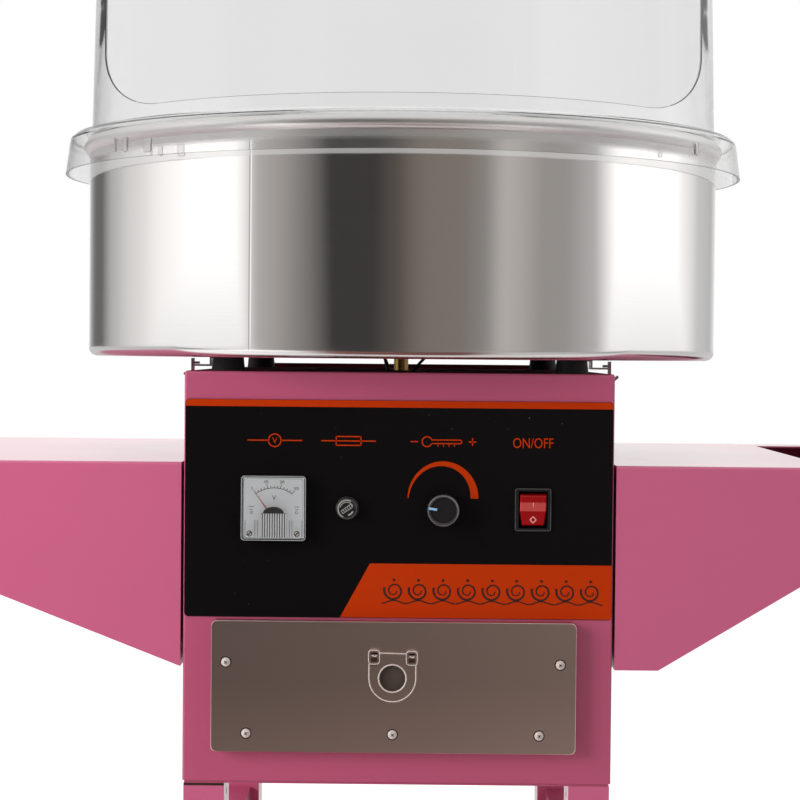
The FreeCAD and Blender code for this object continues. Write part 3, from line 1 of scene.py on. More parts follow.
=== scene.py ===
"""Looks of a cotton candy machine on a two-wheeled cart, laid out as a Blender add-on.

Metres, X to the right, Y to the back, Z up, origin on the floor under the spindle.
The solid pieces come from the frame. This file adds finishes, the pieces that carry
fine detail, the studio and the camera.
"""

import json

import bmesh
import bpy
import numpy as np
from mathutils import Matrix, Vector

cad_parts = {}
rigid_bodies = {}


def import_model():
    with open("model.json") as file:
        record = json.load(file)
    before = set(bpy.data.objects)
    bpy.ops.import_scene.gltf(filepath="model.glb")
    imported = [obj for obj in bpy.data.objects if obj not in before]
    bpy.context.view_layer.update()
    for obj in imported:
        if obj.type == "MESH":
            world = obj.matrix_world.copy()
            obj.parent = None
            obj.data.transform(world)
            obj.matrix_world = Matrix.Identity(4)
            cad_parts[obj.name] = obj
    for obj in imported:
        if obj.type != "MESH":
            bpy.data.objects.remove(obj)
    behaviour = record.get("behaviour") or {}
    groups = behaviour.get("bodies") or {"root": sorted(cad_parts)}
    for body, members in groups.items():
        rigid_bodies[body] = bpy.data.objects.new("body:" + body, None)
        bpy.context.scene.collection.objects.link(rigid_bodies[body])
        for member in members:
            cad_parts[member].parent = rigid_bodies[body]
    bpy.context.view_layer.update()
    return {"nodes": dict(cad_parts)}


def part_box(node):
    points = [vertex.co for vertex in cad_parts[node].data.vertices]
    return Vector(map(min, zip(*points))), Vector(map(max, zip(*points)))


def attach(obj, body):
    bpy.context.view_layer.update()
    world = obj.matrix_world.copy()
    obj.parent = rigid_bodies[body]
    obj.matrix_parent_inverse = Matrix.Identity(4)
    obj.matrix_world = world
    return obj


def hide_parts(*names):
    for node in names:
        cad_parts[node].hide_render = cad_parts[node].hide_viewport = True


for thing in list(bpy.data.objects):
    bpy.data.objects.remove(thing)
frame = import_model()

bl_info = {
    "name": "Cotton Candy Cart",
    "version": (1, 0, 0),
    "blender": (4, 5, 0),
    "location": "View3D > Sidebar > Candy Cart",
    "description": "Finishes, fine detail and studio of a cotton candy machine on a cart",
    "category": "Object",
}

MM = 0.001


def corners(name):
    """The lowest and highest corner of a piece's box, in millimetres."""
    return (np.array(c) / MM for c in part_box(name))


# Places on the front, in millimetres, from the frame's own boxes.
PANEL_LOW, PANEL_HIGH = corners("control_panel")
PANEL_Y = PANEL_LOW[1]
PANEL_TOP = PANEL_HIGH[2]
METER_LOW, METER_HIGH = corners("meter_cover")
METER_X = (METER_LOW[0] + METER_HIGH[0]) / 2
CONTROL_Z = (METER_LOW[2] + METER_HIGH[2]) / 2

# Thickness of the panel's prints and of the marks on small pieces, and the middles of knob and switch.
PRINT_T = 0.15
INK_T = 0.1
KNOB_X = 32.4
SWITCH_X = 98.3


def tone(red, green, blue):
    """A display colour from 0 to 255 as linear light."""
    v = np.array([red, green, blue]) / 255
    linear = np.where(v <= 0.04045, v / 12.92, ((v + 0.055) / 1.055) ** 2.4)
    return tuple(float(c) for c in linear)


# ---------------------------------------------------------------- user's settings

def colour_setting(name, about, default):
    return bpy.props.FloatVectorProperty(
        name=name, description=about, subtype="COLOR", size=3, min=0, max=1, default=default)


def length_setting(name, about, default, low, high):
    return bpy.props.FloatProperty(
        name=name, description=about, subtype="DISTANCE", unit="LENGTH",
        default=default, min=low, max=high, precision=4)


class CandyColours(bpy.types.PropertyGroup):
    """Colours of the painted, moulded and printed pieces."""
    paint: colour_setting("Paint", "Powder coat of the shelves and cart", tone(201, 94, 132))
    # The housing takes the shelves' pink made darker: painted shade.
    housing: colour_setting("Housing", "Powder coat of the housing", tone(184, 80, 114))
    panel: colour_setting("Panel", "Ground of the printed control panel", tone(14, 12, 13))
    print: colour_setting("Print", "Bands, arc and marks on the panel", tone(184, 50, 0))
    ornament: colour_setting("Ornament", "Curls on the coloured wedge", tone(46, 18, 12))
    rocker: colour_setting("Rocker", "Moulding of the switch rocker", tone(150, 2, 5))
    plastic: colour_setting("Plastic", "Dark mouldings", tone(24, 23, 24))
    pointer: colour_setting("Pointer", "Inlay of the temperature knob", tone(140, 190, 225))
    dial: colour_setting("Dial", "Scale plate of the meter", tone(240, 243, 245))
    needle: colour_setting("Needle", "Needle of the meter", tone(204, 96, 100))
    drawer: colour_setting("Drawer", "Tint of the brushed drawer front", tone(230, 208, 199))
    steel: colour_setting("Steel", "Tint of the polished bowl", tone(226, 224, 222))


class CandySizes(bpy.types.PropertyGroup):
    """Sizes of the pieces that this file shapes."""
    bead: length_setting("Rim bead", "Radius of the bowl's rolled rim", 0.006, 0.003, 0.006)
    corner: length_setting("Bowl corner", "Radius between the bowl's floor and wall", 0.007, 0.004, 0.011)
    tread: length_setting("Tread depth", "Depth of the grooves in the tyres", 0.0035, 0.0, 0.006)
    rib: length_setting("Grip rib", "Depth of the rings round the handle grip", 0.0008, 0.0, 0.002)
    lugs: bpy.props.IntProperty(
        name="Tread lugs", description="Number of tread blocks round a tyre", default=48, min=12, max=96)
    curls: bpy.props.IntProperty(
        name="Curls", description="Number of curls on the coloured wedge", default=9, min=1, max=16)


def colours():
    return bpy.context.scene.candy_colours


def sizes():
    return bpy.context.scene.candy_sizes


# ---------------------------------------------------------------- surfaces

def grid_faces(rows, columns, wrap_rows=False, wrap_columns=False):
    """Quads that join neighbouring points of a rows by columns grid."""
    i = np.arange(rows if wrap_rows else rows - 1)
    j = np.arange(columns if wrap_columns else columns - 1)
    i, j = np.meshgrid(i, j, indexing="ij")
    i1, j1 = (i + 1) % rows, (j + 1) % columns
    quads = np.stack([i * columns + j, i1 * columns + j, i1 * columns + j1, i * columns + j1], -1)
    return quads.reshape(-1, 4).tolist()


def around(centre, radius, a):
    """Points centre + radius (cos a, sin a), where the radius may change with the angle."""
    return np.stack([centre[0] + radius * np.cos(a), centre[1] + radius * np.sin(a)], 1)


def arc(radius, start, end, count, centre=(0.0, 0.0)):
    """Points round a centre, the angle running evenly from start to end in degrees."""
    return around(centre, radius, np.radians(np.linspace(start, end, count)))


def spoke(centre, degrees, inner, outer):
    """The two ends of a straight line that points away from a centre."""
    return around(centre, np.array([inner, outer]), np.radians(degrees))


def path(*runs):
    """Points of several runs, one after the other."""
    return np.concatenate([np.asarray(run, float).reshape(-1, 2) for run in runs])


def turned(profile, steps, centre=(0.0, 0.0), axis="z", closed=True):
    """A profile of (radius, height) carried round an axis: centre + radius (cos a, sin a), at its height."""
    a = np.linspace(0, 2 * np.pi, steps, endpoint=False)[:, None]
    radius, height = profile[None, :, 0], profile[None, :, 1]
    across, up = centre[0] + radius * np.cos(a), centre[1] + radius * np.sin(a)
    level = np.broadcast_to(height, across.shape)
    order = {"z": (across, up, level), "y": (across, level, up)}[axis]
    points = np.stack(order, -1).reshape(-1, 3)
    return points, grid_faces(steps, len(profile), True, closed)


def at_depth(outline, y):
    """Points of an outline in the X-Z plane, placed at a depth."""
    return np.stack([outline[:, 0], np.full(len(outline), float(y)), outline[:, 1]], 1)


def band(a, b, y, thick):
    """Points of a flat band between two lines of the X-Z plane: both at y, then at y less the thickness."""
    rings = (a, y), (b, y), (b, y - thick), (a, y - thick)
    return np.stack([at_depth(*ring) for ring in rings], 1).reshape(-1, 3)


def plate(edge_a, edge_b, y, thick):
    """A flat plate between two open edges."""
    a, b = np.asarray(edge_a, float), np.asarray(edge_b, float)
    last = 4 * (len(a) - 1)
    ends = [[0, 1, 2, 3], [last + 3, last + 2, last + 1, last]]
    return band(a, b, y, thick), grid_faces(len(a), 4, False, True) + ends


def stroke(points, width, y, thick=PRINT_T):
    """A band along a line: the line moved half the width along its normal to each side."""
    p = np.asarray(points, float)
    along = np.gradient(p, axis=0)
    along /= np.linalg.norm(along, axis=1, keepdims=True)
    side = np.stack([-along[:, 1], along[:, 0]], 1) * (np.broadcast_to(width, len(p)) / 2)[:, None]
    return plate(p + side, p - side, y, thick)


def segment(x0, z0, x1, z1, width, y, thick=PRINT_T):
    """A straight band between two points."""
    return stroke([(x0, z0), (x1, z1)], width, y, thick)


def block(x0, x1, y0, y1, z0, z1):
    """A bar with square faces between two corners."""
    return plate([(x0, z0), (x1, z0)], [(x0, z1), (x1, z1)], max(y0, y1), abs(y1 - y0))


def ring_plate(outer, inner, y, thick):
    """A flat plate between two closed outlines that have the same number of points."""
    return band(outer, inner, y, thick), grid_faces(len(outer), 4, True, True)


def round_box(x0, x1, z0, z1, radius, steps=8):
    """The closed outline of a rectangle in the X-Z plane whose corners are quarter circles."""
    corners = (((x1, z1), 0), ((x0, z1), 90), ((x0, z0), 180), ((x1, z0), 270))
    middle = np.array([(x0 + x1) / 2, (z0 + z1) / 2])
    runs = []
    for corner, start in corners:
        centre = np.array(corner) + np.sign(middle - corner) * radius
        runs.append(arc(radius, start, start + 90, steps, centre))
    return path(*runs)


def slab(outline, back, front, bevel=0.0):
    """A solid plate with a closed outline, whose front edge is drawn in towards the middle by the bevel."""
    middle = (outline.min(0) + outline.max(0)) / 2
    inner = outline - np.sign(outline - middle) * bevel
    rings = [(outline, back), (outline, front + bevel), (inner, front)]
    if not bevel:
        rings = [(outline, back), (outline, front)]
    points = np.concatenate([at_depth(*ring) for ring in rings])
    count, last = len(outline), len(outline) * (len(rings) - 1)
    caps = [list(range(count)), list(range(last + count - 1, last - 1, -1))]
    return points, grid_faces(len(rings), count, False, True) + caps


def tube(points, radius, sides=16, closed=False):
    """A round bar: circles of the radius square to the line through the points. An open line gets caps."""
    p = np.asarray(points, float)
    along = np.roll(p, -1, 0) - np.roll(p, 1, 0) if closed else np.gradient(p, axis=0)
    along /= np.linalg.norm(along, axis=1, keepdims=True)
    slanting = (0.31, 0.17, 0.93)
    side = np.cross(along, slanting)
    side /= np.linalg.norm(side, axis=1, keepdims=True)
    other = np.cross(along, side)
    a = np.linspace(0, 2 * np.pi, sides, endpoint=False)[None, :, None]
    ring = p[:, None] + radius * (np.cos(a) * side[:, None] + np.sin(a) * other[:, None])
    last = sides * (len(p) - 1)
    caps = [] if closed else [list(range(sides)), list(range(last + sides - 1, last - 1, -1))]
    return ring.reshape(-1, 3), grid_faces(len(p), sides, closed, True) + caps


def lettering(text, x, z, height, y, narrow=1.0, thick=PRINT_T):
    """Plain characters as a thin raised print centred on (x, z); height is that of a capital."""
    curve = bpy.data.curves.new("lettering", "FONT")
    curve.body, curve.align_x, curve.align_y = text, "CENTER", "CENTER"
    curve.extrude, curve.resolution_u = 0.5, 4
    holder = bpy.data.objects.new("lettering", curve)
    mesh = bpy.data.meshes.new_from_object(holder)
    points = np.empty(3 * len(mesh.vertices))
    mesh.vertices.foreach_get("co", points)
    points = points.reshape(-1, 3)
    low, high = points.min(0), points.max(0)
    scale = height / (high[1] - low[1])
    middle = (low + high) / 2
    faces = [list(f.vertices) for f in mesh.polygons]
    bpy.data.objects.remove(holder)
    bpy.data.curves.remove(curve)
    bpy.data.meshes.remove(mesh)
    flat = (points - middle) * (scale * narrow, scale, thick)
    return np.stack([x + flat[:, 0], y - thick / 2 - flat[:, 2], z + flat[:, 1]], 1), faces


def piece(name, parts, finish, body, smooth=35.0):
    """One mesh object from (points in millimetres, faces) parts, with its finish, riding on a body."""
    nearly_same = 1e-6
    points, faces, start = [], [], 0
    for part_points, part_faces in parts:
        points.append(np.asarray(part_points))
        faces += [[start + k for k in face] for face in part_faces]
        start += len(part_points)
    mesh = bpy.data.meshes.new(name)
    mesh.from_pydata((np.concatenate(points) * MM).tolist(), [], faces)
    work = bmesh.new()
    work.from_mesh(mesh)
    bmesh.ops.remove_doubles(work, verts=work.verts, dist=nearly_same)
    bmesh.ops.recalc_face_normals(work, faces=work.faces)
    work.to_mesh(mesh)
    work.free()
    mesh.shade_smooth()
    mesh.set_sharp_from_angle(angle=np.radians(smooth))
    mesh.materials.append(FINISHES[finish])
    obj = bpy.data.objects.new(name, mesh)
    bpy.context.scene.collection.objects.link(obj)
    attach(obj, body)
    return obj


# ---------------------------------------------------------------- shader groups

FLOAT, VECTOR, COLOUR = "NodeSocketFloat", "NodeSocketVector", "NodeSocketColor"


def shader_group(name, inputs, outputs):
    """An empty node group, its inputs as they are read inside, and the node that takes its outputs."""
    tree = bpy.data.node_groups.new(name, "ShaderNodeTree")
    for label, kind, default in inputs:
        socket = tree.interface.new_socket(label, in_out="INPUT", socket_type=kind)
        if default is not None:
            socket.default_value = default
    for label, kind in outputs:
        tree.interface.new_socket(label, in_out="OUTPUT", socket_type=kind)
    given = tree.nodes.new("NodeGroupInput").outputs[:len(inputs)]
    return tree, given, tree.nodes.new("NodeGroupOutput")


def fill(tree, node, **values):
    """Gives inputs of a node a value or a link. i0 is the first input, and _ in a name stands for a space."""
    for key, value in values.items():
        counted = key[0] == "i" and key[1:].isdigit()
        socket = node.inputs[int(key[1:]) if counted else key.replace("_", " ")]
        if isinstance(value, bpy.types.NodeSocket):
            tree.links.new(value, socket)
        else:
            socket.default_value = value


def add(tree, kind, settings=None, **values):
    """A new node with its settings, its inputs filled."""
    node = tree.nodes.new(kind)
    for key, value in (settings or {}).items():
        setattr(node, key, value)
    fill(tree, node, **values)
    return node


def maths(tree, operation, *values):
    """The result of one arithmetic node."""
    links = {f"i{k}": v for k, v in enumerate(values)}
    return add(tree, "ShaderNodeMath", {"operation": operation}, **links).outputs[0]


def product(tree, first, *others):
    """Several values multiplied, one after the other."""
    for other in others:
        first = maths(tree, "MULTIPLY", first, other)
    return first


def inverse(tree, value):
    """1 less the value."""
    return maths(tree, "SUBTRACT", 1.0, value)


def ranged(tree, value, low, high, to_low=0.0, to_high=1.0):
    """A value between low and high brought to another range, clamped."""
    return add(tree, "ShaderNodeMapRange", None, i0=value, i1=low, i2=high, i3=to_low, i4=to_high).outputs[0]


def swung(tree, value, to_low, to_high):
    """A noise value, which keeps mostly between 0.3 and 0.7, brought to a range."""
    return ranged(tree, value, 0.3, 0.7, to_low, to_high)


def noise(tree, vector, scale, detail):
    """The value of a noise texture."""
    return add(tree, "ShaderNodeTexNoise", None, Vector=vector, Scale=scale, Detail=detail).outputs[0]


def scaled(tree, colour, level):
    """A colour times a level."""
    return add(tree, "ShaderNodeVectorMath", {"operation": "SCALE"}, i0=colour, Scale=level).outputs[0]


def axes(tree, place):
    """X, Y and Z of a vector."""
    return add(tree, "ShaderNodeSeparateXYZ", None, i0=place).outputs


def compass(tree, x, y):
    """The angle about Z of a place or a ray: 0 towards the front, minus to the left."""
    return maths(tree, "ARCTAN2", x, maths(tree, "MULTIPLY", y, -1.0))


def drift_group():
    """Colour times 1 + amount (2 noise - 1): the slow change of tone over a coated or cast surface."""
    tree, (vector, colour, scale, amount), put = shader_group(
        "Colour Drift",
        [("Vector", VECTOR, None), ("Colour", COLOUR, None), ("Scale", FLOAT, 10.0), ("Amount", FLOAT, 0.05)],
        [("Colour", COLOUR), ("Value", FLOAT)])
    value = noise(tree, vector, scale, 4.0)
    swing = maths(tree, "MULTIPLY_ADD", value, 2.0, -1.0)
    level = maths(tree, "MULTIPLY_ADD", swing, amount, 1.0)
    fill(tree, put, i0=scaled(tree, colour, level), i1=value)
    return tree


def peel_group():
    """Height of an orange-peel coat: a coarse and a fine noise added."""
    tree, (vector, scale), put = shader_group(
        "Orange Peel", [("Vector", VECTOR, None), ("Scale", FLOAT, 400.0)], [("Height", FLOAT)])
    coarse = noise(tree, vector, scale, 2.0)
    fine = noise(tree, vector, product(tree, scale, 3.1), 1.0)
    fill(tree, put, i0=maths(tree, "MULTIPLY_ADD", fine, 0.35, coarse))
    return tree


def brushed_group():
    """Fine parallel lines: noise that is stretched by the vector given, at two scales."""
    tree, (vector, scale), put = shader_group(
        "Brushed Lines", [("Vector", VECTOR, None), ("Scale", FLOAT, 900.0)],
        [("Height", FLOAT), ("Streak", FLOAT)])
    fine = noise(tree, vector, scale, 3.0)
    broad = noise(tree, vector, product(tree, scale, 0.17), 2.0)
    fill(tree, put, i0=fine, i1=maths(tree, "MULTIPLY_ADD", fine, 0.5, product(tree, broad, 0.5)))
    return tree


def specks_group():
    """A mask of small dots: 1 near the cell points of a Voronoi texture, where a noise lets them through."""
    tree, (vector, scale, size), put = shader_group(
        "Dust Specks", [("Vector", VECTOR, None), ("Scale", FLOAT, 120.0), ("Size", FLOAT, 0.12)],
        [("Mask", FLOAT)])
    cells = add(tree, "ShaderNodeTexVoronoi", None, Vector=vector, Scale=scale)
    dots = maths(tree, "LESS_THAN", cells.outputs[0], size)
    patch = noise(tree, vector, 31.0, 1.0)
    fill(tree, put, i0=product(tree, dots, ranged(tree, patch, 0.55, 0.7)))
    return tree


def scuffs_group():
    """A mask of thin rubbed lines: where a stretched noise crosses its middle value."""
    tree, (vector, scale, width), put = shader_group(
        "Scuffs", [("Vector", VECTOR, None), ("Scale", FLOAT, 25.0), ("Width", FLOAT, 0.02)],
        [("Mask", FLOAT)])
    away = maths(tree, "ABSOLUTE", maths(tree, "SUBTRACT", noise(tree, vector, scale, 3.0), 0.5))
    line = inverse(tree, maths(tree, "DIVIDE", away, width))
    patch = noise(tree, vector, 9.0, 2.0)
    shown = ranged(tree, patch, 0.52, 0.68)
    fill(tree, put, i0=product(tree, maths(tree, "MAXIMUM", line, 0.0), shown))
    return tree


GROUPS = {}


def use(tree, label, **values):
    """The outputs of one of the shared groups, which is built when it is first asked for."""
    makers = {"drift": drift_group, "peel": peel_group, "brushed": brushed_group,
              "specks": specks_group, "scuffs": scuffs_group}
    if label not in GROUPS:
        GROUPS[label] = makers[label]()
    return add(tree, "ShaderNodeGroup", {"node_tree": GROUPS[label]}, **values).outputs


# ---------------------------------------------------------------- finishes

def rgba(colour):
    return (*colour[:3], 1.0)


def blank(name):
    """A material with one shader, and its tree, shader and Object coordinates."""
    material = bpy.data.materials.new(name)
    material.use_nodes = True
    tree = material.node_tree
    shader = tree.nodes["Principled BSDF"]
    place = tree.nodes.new("ShaderNodeTexCoord").outputs["Object"]
    return material, tree, shader, place


def toned(tree, place, colour, scale, amount):
    """A slowly drifting colour, and the noise value that it drifts with."""
    return use(tree, "drift", Vector=place, Colour=rgba(colour), Scale=scale, Amount=amount)


def stretched(tree, place, scale, turn=(0.0, 0.0, 0.0)):
    """Object coordinates with each axis scaled, so that a pattern runs long on one of them."""
    return add(tree, "ShaderNodeMapping", None, Vector=place, Scale=scale, Rotation=turn).outputs[0]


def bumped(tree, shader, height, strength, distance):
    """Fine relief on a shader: a height, how strongly it tilts the normal, and its depth in metres."""
    bump = add(tree, "ShaderNodeBump", None, Height=height, Strength=strength, Distance=distance)
    fill(tree, shader, Normal=bump.outputs[0])


def mixed(tree, mask, base, top):
    """Colour base where the mask is 0 and top where it is 1."""
    return add(tree, "ShaderNodeMix", {"data_type": "RGBA"}, i0=mask, i6=base, i7=top).outputs[2]


def coated(name, colour, roughness, coat=0.0, coat_roughness=0.2, peel=(900.0, 0.03), drift=(60.0, 0.04),
           scuffed=0.0, dusty=0.0, specular=0.5, glow=0.0, matte_shade_above=0.0):
    """Paint, print or moulding: drifting tone, orange peel, rubbed lines and specks of dust.

    peel is scale and strength, drift is scale and amount. Above the height matte_shade_above there is no
    gloss,
    and the colour turns to a dark dull red: painted shade under the bowl.
    """
    dust, painted_shade_red, spread, matte_shade_edge, peel_depth = tone(168, 164, 160), tone(120, 40, 56), 0.15, 0.0003, 0.0004
    material, tree, shader, place = blank(name)
    base, value = toned(tree, place, colour, *drift)
    if dusty:
        specks = use(tree, "specks", Vector=place, Scale=150.0, Size=dusty)[0]
        base = mixed(tree, specks, base, rgba(dust))
    rough = swung(tree, value, roughness * (1 - spread), roughness * (1 + spread))
    if scuffed:
        rubbed = stretched(tree, place, (1.0, 1.0, 3.0))
        marks = use(tree, "scuffs", Vector=rubbed, Scale=22.0, Width=0.012)[0]
        rough = maths(tree, "MULTIPLY_ADD", marks, scuffed, rough)
    # Painted shade: above this height the coat is matte and the colour darkens to a dull red.
    if matte_shade_above:
        matte_and_shade = ranged(tree, axes(tree, place)[2], matte_shade_above - matte_shade_edge, matte_shade_above)
        rough = maths(tree, "MAXIMUM", rough, matte_and_shade)
        base = mixed(tree, matte_and_shade, base, rgba(painted_shade_red))
        coat = product(tree, inverse(tree, matte_and_shade), coat)
    # Emission by glow makes the colour shine by itself though the piece is no lamp: painted light.
    fill(tree, shader, Base_Color=base, Roughness=rough, Coat_Weight=coat, Coat_Roughness=coat_roughness,
         Specular_IOR_Level=specular, Emission_Color=rgba(colour), Emission_Strength=glow)
    bumped(tree, shader, use(tree, "peel", Vector=place, Scale=peel[0])[0], peel[1], peel_depth)
    return material


def metal(name, colour, roughness, stretch=(1.0, 1.0, 1.0), lines=(900.0, 0.05), spread=0.25,
          drift=(8.0, 0.04)):
    """Bare metal with the lines that its making left, which also break up its gloss.

    lines is scale and strength, drift is scale and amount, and spread is the share by which roughness varies.
    """
    material, tree, shader, place = blank(name)
    base = toned(tree, place, colour, *drift)[0]
    line, streak = use(tree, "brushed", Vector=stretched(tree, place, stretch), Scale=lines[0])
    rough = swung(tree, streak, roughness * (1 - spread), roughness * (1 + spread))
    fill(tree, shader, Metallic=1.0, Base_Color=base, Roughness=rough)
    bumped(tree, shader, line, lines[1], 0.0003)
    return material


def galvanised(name):
    """Zinc coat: a Voronoi spangle changes tone and gloss from patch to patch."""
    material, tree, shader, place = blank(name)
    cells = add(tree, "ShaderNodeTexVoronoi", None, Vector=place, Scale=160.0)
    grey = add(tree, "ShaderNodeSeparateColor", None, i0=cells.outputs["Color"]).outputs[0]
    fill(tree, shader, Metallic=1.0, Roughness=ranged(tree, grey, 0.0, 1.0, 0.34, 0.5),
         Base_Color=mixed(tree, grey, rgba(tone(150, 154, 158)), rgba(tone(196, 200, 203))))
    bumped(tree, shader, use(tree, "peel", Vector=place, Scale=700.0)[0], 0.05, 0.0003)
    return material


def polished_bowl(name, colour, seam):
    """Spun and polished steel: faint rings, slow waves that bend reflections, and a welded seam up the wall.

    It is rougher on the rolled rim and round the lower corner. Under the rim its sides are less metallic, so
    they show a lit tone in place of reflection: painted light.
    seam is the weld's angle in radians, and the other limits are in metres.
    """
    rim, under_rim, corner, sides = (0.864, 0.868), (0.876, 0.879), (0.712, 0.722), (0.08, 0.13)
    rim_rough, corner_rough, metallic_drop_painted_light = 0.28, 0.12, -0.8
    weld_width, weld_depth, wave_depth, ring_depth = 0.004, 0.05, 1.6, 0.01
    material, tree, shader, place = blank(name)
    base = toned(tree, stretched(tree, place, (1, 1, 0.2)), colour, 14.0, 0.03)[0]
    line, streak = use(tree, "brushed", Vector=stretched(tree, place, (0.02, 0.02, 1.0)), Scale=1400.0)
    x, y, z = axes(tree, place)
    rolled = maths(tree, "ADD", ranged(tree, z, *rim, 0.0, rim_rough),
                   ranged(tree, z, *corner, corner_rough, 0.0))
    rough = maths(tree, "ADD", swung(tree, streak, 0.06, 0.10), rolled)
    # Painted light: a band under the rim at the sides loses its metal and shows a lit tone.
    below = product(tree, ranged(tree, z, *rim), ranged(tree, z, *under_rim, 1.0, 0.0))
    aside = ranged(tree, maths(tree, "ABSOLUTE", x), *sides)
    fill(tree, shader, Base_Color=base, Roughness=rough,
         Metallic=maths(tree, "MULTIPLY_ADD", product(tree, below, aside), metallic_drop_painted_light, 1.0))
    away = maths(tree, "ABSOLUTE", maths(tree, "SUBTRACT", compass(tree, x, y), seam))
    weld = ranged(tree, away, 0.0, weld_width, -1.0, 0.0)
    wave = noise(tree, stretched(tree, place, (1, 1, 0.12)), 16.0, 1.0)
    height = maths(tree, "MULTIPLY_ADD", wave, wave_depth, product(tree, line, ring_depth))
    height = maths(tree, "MULTIPLY_ADD", weld, weld_depth, height)
    bumped(tree, shader, height, 0.35, 0.002)
    return material


def brushed_front(name, colour):
    """The drawer's brushed sheet, whose lines run across it. Its colour is lighter towards its lower edge:
    painted light.
    """
    lower_edge, middle, painted_light_gain = 0.42, 0.475, 1.3
    material, tree, shader, place = blank(name)
    line, streak = use(tree, "brushed", Vector=stretched(tree, place, (0.004, 1.0, 1.0)), Scale=1300.0)
    base = toned(tree, place, colour, 5.0, 0.05)[0]
    # Painted light: the colour is raised towards the lower edge.
    lower = ranged(tree, axes(tree, place)[2], lower_edge, middle, painted_light_gain, 1.0)
    level = product(tree, swung(tree, streak, 0.935, 0.945), lower)
    fill(tree, shader, Metallic=1.0, Base_Color=scaled(tree, base, level),
         Roughness=swung(tree, streak, 0.275, 0.28))
    bumped(tree, shader, line, 0.002, 0.0002)
    return material


def clear(name, colour, roughness=0.01, smears=0.01, ior=1.49, painted_shade_tint=None):
    """Clear moulded sheet with faint wiped smears in its gloss. Its back half may take a grey tint: painted
    shade.
    """
    painted_shade_from, painted_shade_full = -0.05, 0.12
    material, tree, shader, place = blank(name)
    base = toned(tree, place, colour, 3.0, 0.006)[0]
    # Painted shade: the back half of the sheet is tinted grey.
    if painted_shade_tint:
        base = mixed(tree, ranged(tree, axes(tree, place)[1], painted_shade_from, painted_shade_full), base, rgba(painted_shade_tint))
    wiped = stretched(tree, place, (1.0, 1.0, 0.4))
    marks = use(tree, "scuffs", Vector=wiped, Scale=9.0, Width=0.02)[0]
    fill(tree, shader, Base_Color=base, Transmission_Weight=1.0, IOR=ior,
         Roughness=maths(tree, "MULTIPLY_ADD", marks, smears, roughness))
    return material


def rocker_finish(name, colour):
    """Glossy translucent moulding, paler in the band where the rocker's upper slope catches the light."""
    band_low, band_high, strength = (0.6003, 0.6009), (0.6067, 0.6073), 0.6
    material, tree, shader, place = blank(name)
    z = axes(tree, place)[2]
    band_mask = product(tree, ranged(tree, z, *band_low), ranged(tree, z, *band_high, 1.0, 0.0), strength)
    base, value = toned(tree, place, colour, 60.0, 0.08)
    fill(tree, shader, Base_Color=mixed(tree, band_mask, base, rgba(tone(214, 92, 86))),
         Roughness=swung(tree, value, 0.22, 0.3), Specular_IOR_Level=0.3)
    bumped(tree, shader, use(tree, "peel", Vector=place, Scale=900.0)[0], 0.03, 0.0003)
    return material


def circuit_board(name):
    """Green lacquered board: a fine grid of darker tracks under a gloss."""
    material, tree, shader, place = blank(name)
    quarter_turn = 1.5708
    grid = stretched(tree, place, (1, 1, 1), (quarter_turn, 0, 0))
    greens = [rgba(tone(*green)) for green in ((24, 92, 48), (30, 104, 56), (14, 60, 34))]
    colour, mortar = add(tree, "ShaderNodeTexBrick", None, Vector=grid, Scale=140.0,
                         i1=greens[0], i2=greens[1], i3=greens[2]).outputs
    fill(tree, shader, Base_Color=colour, Roughness=ranged(tree, mortar, 0.0, 1.0, 0.3, 0.42))
    bumped(tree, shader, mortar, 0.1, 0.0003)
    return material


